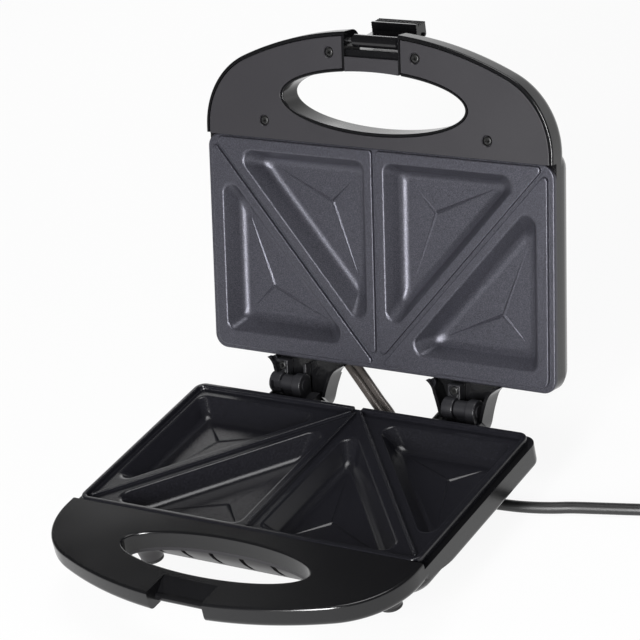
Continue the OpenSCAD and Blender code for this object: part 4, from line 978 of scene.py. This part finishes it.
way_out.data.transform(Matrix.Translation((-24, case_back, 9.5))
                       @ Matrix.Rotation(math.pi / 2, 4, "X"))
carve(upper_case, "DIFFERENCE",
      block("plate room", (-half_case - 1, half_case + 1), (lid_split_y - 0.4, case_back + 0.01),
            (-1, rim_drop)),
      prism("ledge", ledge, rim_drop - 1, rim_drop + wall + 1), crown("inside", wall), seat,
      grip_hole(relief, 0.6, lid_top, 2.5), notch, way_out,
      *[prism("lens hole", circle(x, -plate_d + 26, 4.1), lid_h - 8, lid_h + 4) for x in (-14, 14)])
under_bar = soft_block("bar", (-notch_x - 1, notch_x + 1), (latch_y + 4.3, lid_notch_y + 0.6),
                       (2.6, 13), 0.4)
carve(upper_case, "UNION", under_bar)
settle(upper_case, gloss_black, "lid", ["lid_housing"], 30)

# %% [markdown]
# ## Cover of the upper handle
# A flat satin cover closes the handle from inside. It sits in the shell with a fine seam all round
# and leaves a narrow ring of the shell round the finger opening. Two fine grooves split off the
# strip under the latch notch, and four sunk places take the screws.

# %% Cover
screw_places = [(side * x, y) for side in (-1, 1)
                for x, y in ((half_case * 0.643, -plate_d - handle_d * 0.173),
                             (notch_w * 0.8, -plate_d - handle_d * 0.805))]
cover_in = 2.4
handle_cover = moulding("handle_cover", case_outline, [
    (cover_in + d, z) for d, z in edge_out(0.45, relief, -1, 3)[::-1]] + [(cover_in, cover_z)])
carve(handle_cover, "INTERSECT",
      block("front", (-half_case, half_case), (front_y, lid_split_y), (-2, 8)))
ring_gap = moulding("ring gap", lambda d: grip_outline(1.9 + d), flared(relief, 0.35, cover_z, 0.01))
carve(ring_gap, "DIFFERENCE", block("strip", (-strip_x, strip_x), (front_y, grip_mid_y), (-3, 9)))
notch_gap = block("notch gap", (-strip_x, strip_x), (front_y - 5, lid_notch_y), (-1, 8))
sunk_steps = [(0.9, -1), (0.5, relief - 0.01), (0, relief + 0.5), (0, relief + 2.2)]
carve(handle_cover, "DIFFERENCE", ring_gap, notch_gap,
      *both_sides("groove", notch_x, strip_x, (lid_notch_y - 1, hole_y + 3), (-1, 8)),
      *[moulding("sunk", lambda d, x=x, y=y: circle(x, y, 3.0 + d), sunk_steps) for x, y in screw_places],
      prism("hole", grip_outline(0.1), -2, 9))
settle(handle_cover, charcoal, "lid", ["lid_handle_cover"], 30)


# %% Cross-head screws
def cross_screw(head_r, head_h, shank):
    """A pan-head screw with a cross recess; its head is below the origin and its tip above."""
    piece = moulding("screw", lambda d: circle(0, 0, head_r - d, 24),
                     [(0.9, -head_h), (0.35, -head_h + 0.22), (0.05, -head_h + 0.55), (0, 0),
                      (head_r - 1.2, 0.01), (head_r - 1.2, shank - 0.5), (head_r - 0.3, shank)])
    arms = []
    for turned in (0, math.pi / 2):
        arm = moulding("arm", lambda d: box_outline(head_r * 0.62 - d, -0.33 + d * 0.3,
                                                    0.33 - d * 0.3, 0.1, 0, 2),
                       [(-0.2, -head_h - 1), (0, -head_h), (0.55, -head_h * 0.45)])
        arm.data.transform(Matrix.Rotation(turned, 4, "Z"))
        arms.append(arm)
    return carve(piece, "DIFFERENCE", *arms)


cover_screws = on_places("cover_screws", [(x, y, relief + 1.35) for x, y in screw_places],
                         cross_screw(2.5, 1.0, 7), black_steel)
settle(cover_screws, black_steel, "lid", ["lid_handle_screws"], 35)

# %% [markdown]
# ## Latch
# The latch is one moulding: a barrel on the pin, a flat plate with a hooked end, and a ridged tip
# for the finger. It is drawn hanging down from its pin and is then turned back over the handle.

# %% Latch
latch_half = latch_w / 2
flap_y0, flap_y1, hook_reach, finger_y = -barrel_r, -barrel_r + 2.8, 4.8, 3.4
tip_y, tip_z = flap_y0 - 0.9, -latch_len
hook_top, hook_low = -hook_len, -hook_len - hook_t
latch = turned_x("latch_clip", [(-latch_half, 2.9), (-latch_half + 0.7, barrel_r),
                                (latch_half - 0.7, barrel_r), (latch_half, 2.9)], 0, 0)
flap = soften(bar_along_x("flap", [
    (flap_y0, 0), (flap_y0, hook_top + 1), (tip_y, hook_top - 0.5), (tip_y, tip_z + 0.8),
    (tip_y + 0.8, tip_z), (finger_y - 0.8, tip_z), (finger_y, tip_z + 0.8), (finger_y, hook_low - 0.4),
    (finger_y + 0.4, hook_low), (hook_reach, hook_top - 1.4), (hook_reach, hook_top),
    (flap_y1, hook_top), (flap_y1, 0)], -latch_half + 0.3, latch_half - 0.3), 0.35)
nub = turned_x("nub", [(latch_half - 2, 1.3), (latch_half + 0.7, 1.1), (latch_half + 1.1, 0.6)],
               flap_y0 + 0.6, tip_z + 3.4, 20)
carve(latch, "UNION", flap, nub)
carve(latch, "DIFFERENCE", turned_x("pin bore", [(-latch_w, 1.55), (latch_w, 1.55)], 0, 0, 32),
      *both_sides("slot", 3, latch_half - 3, (flap_y0 - 1, flap_y1 + 1), (hook_top + 6, -7)),
      *[block("grip groove", (-latch_w, latch_w), (y, y + 0.6), (hook_top - 0.5, hook_top + 0.1))
        for y in (0.3, 1.8, 3.3)])
settle(latch, gloss_black, "latch", ["latch"], 35)

# %% Latch ridges
ridge_r, ridge_z = 0.75, tip_z + 1.2
ridge = bar_along_x("latch_ridges", arc(finger_y - 0.2, ridge_z, ridge_r, 90, -90, 8)
                    + [(finger_y - 0.5, ridge_z - ridge_r), (finger_y - 0.5, ridge_z + ridge_r)],
                    -latch_half + 0.1, latch_half - 0.1)
ridges = in_a_row(ridge, 4, (0, 0, latch_tip / 4), gloss_black)
settle(ridges, gloss_black, "latch", [], 35)

# %% [markdown]
# ## Lower case
# The lower case is the same handle outline, thinner and with a larger soft edge below, joined to a
# shallow body whose underside slopes up towards the handle. The finger opening has a fine rounded
# rim, and the notch for the latch is cut as a ramp that leaves a round catch bar across its front.

# %% Shell of the base
wall_low_z = -rim_drop - side_h
lower_case = moulding("lower_case", case_outline,
                      edge_out(4, base_handle_z, -1, 8)[::-1] + edge_out(1.5, -relief, 1, 5))
carve(lower_case, "DIFFERENCE", block("plate room", (-half_case - 1, half_case + 1),
                                      (-plate_d - 0.3, case_back + 9), (-rim_drop, 9)))
body = moulding("body", lambda d: box_outline(half_case, bridge_y, case_back, case_corner_r, d),
                edge_out(3.2, wall_low_z - 0.5, -1, 7)[::-1] + [(0, -rim_drop)])
carve(body, "INTERSECT", bar_along_x("side", [
    (-plate_d, -rim_drop), (-plate_d, base_handle_z + 0.5), (-plate_d + 10, base_handle_z - 0.6),
    (-plate_d + 27, wall_low_z + 0.9), (-plate_d + 38, wall_low_z), (case_back + 1, wall_low_z),
    (case_back + 1, -rim_drop)], -half_case - 1, half_case + 1))
carve(lower_case, "UNION", body)

cover_seat = prism("cover seat", case_outline(4.7), base_handle_z - 1, base_handle_z + 2)
carve(cover_seat, "INTERSECT", block("front", (-half_case, half_case), (front_y, bridge_y - 0.1), (-20, 0)))
carve(cover_seat, "DIFFERENCE", block("notch walls", (-notch_x - 2.5, notch_x + 2.5),
                                      (front_y - 1, base_notch_y + 2.5), (-20, 0)))
latch_room = block("latch room", (-notch_x, notch_x), (front_y - 5, base_notch_y), (base_handle_z - 1, 2))
ramp = bar_along_x("ramp", [(base_notch_y + 1, -relief - 0.5), (base_notch_y, -relief - 0.5),
                            (base_notch_y - 3, -relief - 1.7), (base_notch_y - 6, -relief - 4.0),
                            (catch_y + 0.6, catch_z + 1.9), (catch_y + 0.6, catch_z - 0.6),
                            (base_notch_y - 4, base_handle_z), (base_notch_y + 1, base_handle_z)],
                   -notch_x - 1, notch_x + 1)
carve(latch_room, "DIFFERENCE", ramp,
      turned_x("catch bar", [(-notch_x - 1, catch_r), (notch_x + 1, catch_r)], catch_y, catch_z, 32))
carve(lower_case, "DIFFERENCE", latch_room, cover_seat, grip_hole(base_handle_z, 0.02, -relief, 1.1),
      prism("inside", box_outline(case_in_x, bridge_y + wall, case_in_back, case_corner_r - wall, 0, 5),
            wall_low_z - 2, -rim_drop - wall),
      prism("ledge", ledge, -rim_drop - wall - 1, -rim_drop + 1),
      block("sleeve way", (9, 21), (case_in_back - 1, case_back + 1), (-15.5, -7.5)))
settle(lower_case, gloss_black, "base", ["base_housing"], 30)

# %% [markdown]
# ## Pan and feet
# The pan hangs under the case and slopes in to its floor on all sides. It is one skin through
# rounded rectangles with soft steps between them, hollow like the real moulding, with vent slots
# down its front and through its floor. Four flared legs carry it, and each ends in a rubber pad.

# %% Pan
pan_x, pan_low_z, pan_top_z = half_case - wall - 0.5, floor_z + foot_h, base_handle_z - 0.3
pan_sizes = [(pan_x - 21.5, bridge_y + 12.2, -1.7, pan_low_z),
             (pan_x - 20.1, bridge_y + 11.3, -0.8, pan_low_z + 0.35),
             (pan_x - 18.6, bridge_y + 10.6, -0.5, pan_low_z + 1.4),
             (pan_x - 11, bridge_y + 7, -0.5, pan_low_z + 5),
             (pan_x - 4, bridge_y + 2.7, -0.5, pan_low_z + 10.5),
             (pan_x - 0.6, bridge_y + 0.4, 0.1, pan_low_z + 14.6),
             (pan_x, bridge_y, 0.2, pan_low_z + 16.5),
             (pan_x, bridge_y, 0.2, pan_top_z)]


def pan_skin(name, d, lift):
    return solid(name, [at(box_outline(x, y0, y1, 14, d, 10), z + lift) for x, y0, y1, z in pan_sizes])


pan_screw_places = [(side * (half_case - 6), y) for side in (-1, 1) for y in (-45, -85)]
pan = carve(pan_skin("vented_pan", 0, 0), "DIFFERENCE", pan_skin("inside", wall, wall))
posts = [prism("post", circle(x, y, 2.6), pan_low_z, pan_top_z - 0.2) for x, y in pan_screw_places]
for post in posts:
    carve(post, "INTERSECT", pan_skin("outside", 0.02, 0.02))
carve(pan, "UNION", *posts)
outlet_block = soft_block("cord outlet", (outlet[0] - 6.5, outlet[0] + 5.5),
                          (outlet[1] - 7, outlet[1] + 7), (outlet[2] - 4.8, pan_low_z + 1), 1.2, 3)
legs = [moulding("leg", lambda d, x=x, y=y: circle(x, y, 9.5 - d), [
    (3.2, floor_z + 1.5), (2.9, floor_z + 1.9), (2.6 - wide * 0.6, floor_z + 6), (2.2 - wide, floor_z + 9),
    (1.4 - wide * 1.2, pan_low_z + 0.1), (0.4 - wide * 1.4, pan_low_z + 2)])
    for x in (-pan_x + 32.5, pan_x - 32.5) for y, wide in ((-plate_d + 12, 1), (-case_back, 0))]
carve(pan, "UNION", outlet_block, *legs)

# %% Vents of the pan
floor_cut = (pan_low_z - 1, pan_low_z + 4)
vents = [in_a_row(soft_block("slots", (first - 1.5, first + 1.5), y, z, edge), 7, (pitch, 0, 0), pan_black)
         for first, pitch, y, z, edge in (
             (-60, 20, (bridge_y - 1, bridge_y + 15), (pan_low_z + 3, pan_low_z + 16), 0.4),
             (-36, 12, (-104, -84), floor_cut, 1.2), (-36, 12, (-60, -40), floor_cut, 1.2))]
carve(pan, "DIFFERENCE", *vents,
      *[prism("screw way", circle(x, y, 2.5), floor_z, pan_top_z - 2) for x, y in pan_screw_places],
      turned_x("cord way", [(outlet[0] - 2.5, 4), (outlet[0] + 7, 4)], outlet[1], outlet[2], 32))
settle(pan, pan_black, "base", ["base_pan"], 30)

# %% [markdown]
# ## Hinges
# Each hinge is a bracket on the base and an arm on the lid, side by side on one pin. The bracket
# has a shelf with two end flanges, a barrel and a round-topped lug. The arm is a ring with a screw
# block above it. They are small bars and turned shapes with soft edges, joined into one moulding.

# %% Hinge brackets
ring_x0, ring_x1 = -hinge_len / 2, -hinge_len / 2 + 7.2
barrel_x0, disc_x1 = ring_x1 + 0.1, hinge_len / 2
disc_x0, knuckle_r, pin_r = barrel_x0 + 8.4, 6.2, 2.0
shelf_z, shelf_t, shelf_end_y = -hinge_drop - knuckle_r - 0.7, 4.0, hinge_back + 4.6


def bracket(side, word):
    hx, sx, shelf = side * hinge_x, side * shelf_x, (shelf_z - shelf_t, shelf_z)

    def turned(name, profile, n=48):
        return turned_x(name, [(hx + x, r) for x, r in profile], hinge_back, -hinge_drop, n)

    piece = soft_block("base_hinge_" + word, (sx - 14, sx + 14), (case_back, shelf_end_y), shelf, 0.6, 3)
    foot = soft_block("foot", (sx - 18, sx + 18), (case_back, case_back + 5), shelf, 0.5)
    flanges = [soft_block("flange", (x - 0.9, x + 0.9), (case_back + 1, shelf_end_y - 2),
                          (shelf_z - shelf_t, shelf_z + 1.4), 0.4) for x in (sx - 14.4, sx + 14.4)]
    lug = soften(bar_along_x("lug", arc(hinge_back, -hinge_drop, knuckle_r + 0.3, 0, 180, 20)
                             + [(hinge_back - 6.5, shelf_z - 1), (hinge_back + 4.5, shelf_z - 1)],
                             hx + disc_x0, hx + disc_x1), 0.7, 3)
    neck = soft_block("neck", (hx + barrel_x0, hx + disc_x0 + 1), (hinge_back - 3.4, hinge_back + 3.4),
                      (shelf_z - 1, -hinge_drop), 0.4)
    barrel = turned("barrel", [(barrel_x0, 4.5), (barrel_x0 + 0.5, 5), (disc_x0 - 1.2, 5),
                               (disc_x0 - 0.6, 5.25), (disc_x0 - 0.2, 5.9), (disc_x0 + 1, 6)])
    cap = turned("cap", [(disc_x1 - 1, 3.6), (disc_x1 + 0.25, 3.6), (disc_x1 + 0.5, 3.2)])
    carve(piece, "UNION", foot, *flanges, neck, lug, barrel, cap)
    carve(piece, "DIFFERENCE", turned("pin bore", [(barrel_x0 - 1, pin_r + 0.02),
                                                   (disc_x1 - 2, pin_r + 0.02)], 32))
    settle(piece, hinge_black, "base", ["hinge_bracket_" + word], 35)


# %% Hinge arms
arm_screw_x, arm_screw_y = (ring_x0 + ring_x1) / 2 + 0.4, case_back + 4.5


def arm(side, word):
    hx = side * hinge_x

    def turned(name, profile, n=48):
        return turned_x(name, [(hx + x, r) for x, r in profile], hinge_back, lid_hinge_z, n)

    piece = turned("lid_hinge_" + word, [
        (ring_x0, knuckle_r - 0.7), (ring_x0 + 0.25, knuckle_r - 0.2), (ring_x0 + 0.8, knuckle_r),
        (ring_x1 - 0.8, knuckle_r), (ring_x1 - 0.25, knuckle_r - 0.2), (ring_x1, knuckle_r - 0.7)])
    arm_top = rim_drop - 0.5
    carve(piece, "UNION",
          soft_block("screw block", (hx + ring_x0 + 0.1, hx + ring_x1 + 0.9),
                     (case_back + 0.9, hinge_back - 3), (-2.2, arm_top), 0.5, 3),
          soft_block("web", (hx + ring_x1 - 1.8, hx + ring_x1), (case_back + 2, hinge_back + 1),
                     (lid_hinge_z + 1, arm_top), 0.3))
    carve(piece, "DIFFERENCE",
          moulding("sunk", lambda d: circle(hx + arm_screw_x, arm_screw_y, 2.9 + d),
                   [(0.6, -3.5), (0.4, -2.2), (0, -1.9), (0, -1)]),
          turned("bore", [(ring_x0 - 1, pin_r + 0.05), (ring_x1 + 1, pin_r + 0.05)], 32))
    if side < 0:
        carve(piece, "UNION", soft_block("fin", (hx + disc_x1 - 3, hx + disc_x1 - 1),
                                         (case_back + 2, hinge_back - 3), (-1.6, arm_top), 0.5))
        window = block("window", (hx + ring_x0 + 1.6, hx + ring_x1 + 1), (-knuckle_r - 1, -3.2),
                       (-2.6, 2.6))
        window.data.transform(Matrix.Translation((0, hinge_back, lid_hinge_z))
                              @ Matrix.Rotation(open_angle, 4, "X")
                              @ Matrix.Rotation(math.radians(-12), 4, "X"))
        carve(piece, "DIFFERENCE", window)
    settle(piece, hinge_black, "lid", ["hinge_arm_" + word], 35)


for side, word in ((-1, "left"), (1, "right")):
    bracket(side, word)
    arm(side, word)
arm_screws = on_places("hinge_screws", [(side * hinge_x + arm_screw_x, arm_screw_y, -1.0)
                                        for side in (-1, 1)],
                       cross_screw(2.5, 1.0, 6), black_steel, seed=8)
settle(arm_screws, black_steel, "lid", ["hinge_arm_screws"], 35)

# %% [markdown]
# ## Sealing ribs
# Three raised ribs stand on the dividing lines of the lower plate and press into the grooves of the
# upper one. Each has a rounded bar and a row of fine teeth on its top, set out by the row tree at
# one pitch, so a longer rib only has more teeth.

# %% Toothed ribs
tooth_pitch, rib_gap, rib_half = 1.1, 4.6, 1.05
for word, end_x in (("left", -half_plate), ("middle", 0.0), ("right", half_plate)):
    run = math.hypot(end_x, plate_d)
    length = run - 2 * rib_gap - (3 if end_x else 0)
    along = (base_place @ Matrix.Rotation(math.atan2(-plate_d, end_x), 4, "Z")
             @ Matrix.Translation((rib_gap, 0, -lip_h)))
    bar = moulding("sealing_rib_" + word, lambda d: [
        (x + length / 2, y) for x, y in box_outline(length / 2, -rib_half, rib_half, 1.0, d, 5)],
        [(-0.3, -0.2), (-0.1, 0.1), (0, 0.5)] + edge_out(0.5, rib_h - 0.25, 1, 4)[1:])
    settle(bar, shade_painted_lower_coating, "base", [], 40, along)
    count = int((length - 2) / tooth_pitch)
    tooth = soften(bar_along_x("rib_teeth_" + word, [(-0.85, -0.5), (0.85, -0.5), (0.7, 0), (-0.7, 0)],
                               0, 0.55), 0.12, 1)
    tooth.data.transform(Matrix.Translation((1.2, 0, rib_h)))
    teeth = in_a_row(tooth, count, (tooth_pitch, 0, 0), shade_painted_lower_coating)
    settle(teeth, shade_painted_lower_coating, "base", [], 40, along, False)

# %% [markdown]
# ## Wire sleeves
# Two silicone-coated sleeves carry the lid's wires across the hinge line. Each is a round tube on
# one smooth run from the slot in the lid to the slot in the base, fixed in the open position.

# %% Sleeves
def tube(name, points, radius):
    rings = []
    p = [Vector(q) for q in points]
    side = Vector((0, 0, 1))
    for i, q in enumerate(p):
        run = (p[min(i + 1, len(p) - 1)] - p[max(i - 1, 0)]).normalized()
        side = (side - run * side.dot(run)).normalized()
        over = run.cross(side)
        rings.append([tuple(q + radius * (side * c + over * s)) for c, s in round_points(20)])
    return solid(name, rings)


sleeve_r = 2.2
sleeve_line = smooth_run([(-24, 33, 6), (-11.3, 24.7, 0.2), (1.3, 16.3, -5.6), (13, 8.6, -10.8),
                          (16, 1.5, -11.6)], 9)
aside = Vector((0.45, 0.9, 0.3)).normalized() * (sleeve_r + 0.05)
for word, way in (("front", -1), ("rear", 1)):
    sleeve = tube("wire_sleeve_" + word, [Vector(q) + aside * way for q in sleeve_line], sleeve_r)
    sleeve.data.transform(base_place)
    shaded(dress(sleeve, sleeve_brown).data, 50)
    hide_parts("wire_sleeves")
    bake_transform(sleeve)
    print(sleeve.name, len(sleeve.data.polygons), "faces between lid and base")

# %% [markdown]
# ## Cord fittings
# The strain relief is turned, with rings that get smaller along its taper. The plug is a loft
# through rounded sections, from the round cord to the wide flat grip, and has finger ridges in a
# row. The tie is a soft band round the coil, drawn once and turned to its place.

# %% Strain relief
relief_profile = [(-1, 3.7), (-0.6, 3.95), (4.6, 3.95), (5, 4.4), (5.2, 4.8), (6.8, 4.8), (7, 4.5)]
for i in range(9):
    x, r = 7.6 + i * 2.35, 4.65 - 0.11 * i
    relief_profile += [(x, r - 0.65), (x + 0.3, r - 0.15), (x + 0.6, r), (x + 1.4, r), (x + 1.7, r - 0.15),
                       (x + 2.0, r - 0.65)]
relief_profile += [(29.0, 3.5), (29.3, 3.3)]
cord_relief = turned_x("cord_relief", [(outlet[0] + x, r) for x, r in relief_profile],
                       outlet[1], outlet[2], 32)
settle(cord_relief, cord_black, "base", ["strain_relief"], 35)

# %% Plug
def rounded_section(y, half_w, half_t, power):
    return [(half_w * math.copysign(abs(c) ** (2 / power), c), y,
             half_t * math.copysign(abs(s) ** (2 / power), s)) for c, s in round_points(48)]


plug_place = base_place @ Matrix.Translation((253, 106.6, floor_z + 7))
plug = solid("mains_plug", [rounded_section(*row) for row in (
    (0, 3.7, 3.7, 2), (0.4, 4, 4, 2), (5, 4.6, 4.5, 2), (9.5, 5.5, 5.2, 2), (13, 7.6, 5.9, 2.2),
    (17, 11, 6.5, 2.5), (21, 14.8, 6.9, 2.9), (25, 17.2, 7, 3.2), (38, 17.4, 7, 3.4),
    (41.6, 17.1, 6.9, 3.4), (42.7, 16.5, 6.3, 3.3), (43, 15.6, 5.5, 3.2))])
settle(plug, cord_black, "base", ["plug_body"], 40, plug_place)
grip = moulding("plug_ridges", lambda d: box_outline(6.5, 25.2, 26.4, 0.6, d, 4),
                [(0.1, -6.9), (0, 6.9), (0.3, 7.0)])
settle(in_a_row(grip, 5, (0, 2.4, 0), cord_black), cord_black, "base", [], 40, plug_place)

# %% Tie
tie_low, tie_high, tie_angle = floor_z, floor_z + 2 * cord_r * (coil_turns + 1) + 1.2, math.radians(70)
tie_half, tie_r, tie_wall = 4.05, 3.4, 0.6
tie = prism("coil_tie", box_outline(tie_half, tie_low, tie_high, tie_r, 0, 8), -2.5, 2.5)
carve(tie, "DIFFERENCE", prism("inside", box_outline(
    tie_half - tie_wall, tie_low + tie_wall, tie_high - tie_wall, tie_r - tie_wall, 0, 8), -4, 4))
soften(tie, 0.15, 1)
out_x, out_y = math.cos(tie_angle), math.sin(tie_angle)
tie_x, tie_y = coil_mid[0] + coil_r * out_x, coil_mid[1] + coil_r * out_y
tie_place = (base_place @ Matrix.Translation((tie_x, tie_y, 0))
             @ Matrix(((out_x, 0, -out_y, 0), (out_y, 0, out_x, 0), (0, 1, 0, 0), (0, 0, 0, 1))))
settle(tie, rubber, "base", ["cord_tie"], 35, tie_place)

# %% [markdown]
# ## Inner pieces
# The heating elements, shields, wiring, thermostat, terminal block, fuse, lamps, lenses, pins and
# remaining screws keep the shapes that they were packed with, as those are right. Each only gets
# its finish, from one table of piece names.

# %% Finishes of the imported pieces
finishes = {
    charcoal: ("base_handle_cover",),
    heater_grey: ("base_heating_element", "lid_heating_element"),
    aluminium: ("base_heat_shield", "lid_heat_shield"),
    bright_steel: ("base_plate_screws", "base_shield_screws", "pan_screws", "base_handle_screws",
                   "hinge_bracket_screws", "lid_plate_screws", "lid_shield_screws", "hinge_pin_left",
                   "hinge_pin_right", "latch_pin", "thermal_fuse"),
    rubber: ("foot_pads",),
    ceramic: ("thermostat", "terminal_block"),
    white_wire: ("base_wiring", "lid_wiring"),
    nickel: ("plug_pins",),
    red_glow: ("power_lens",),
    green_glow: ("ready_lens",),
    lamp_glass: ("indicator_lamps",),
}
for finish, names in finishes.items():
    for name in names:
        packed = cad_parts[name]
        for place in packed.material_slots:
            place.material = finish
        if not packed.material_slots:
            packed.data.materials.append(finish)
print(sum(len(names) for names in finishes.values()), "packed pieces have their finish")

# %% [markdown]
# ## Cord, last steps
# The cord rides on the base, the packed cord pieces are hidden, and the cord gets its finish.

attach(cord, "base")
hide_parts("cord_run", "cord_coil")
dress(cord, cord_black)
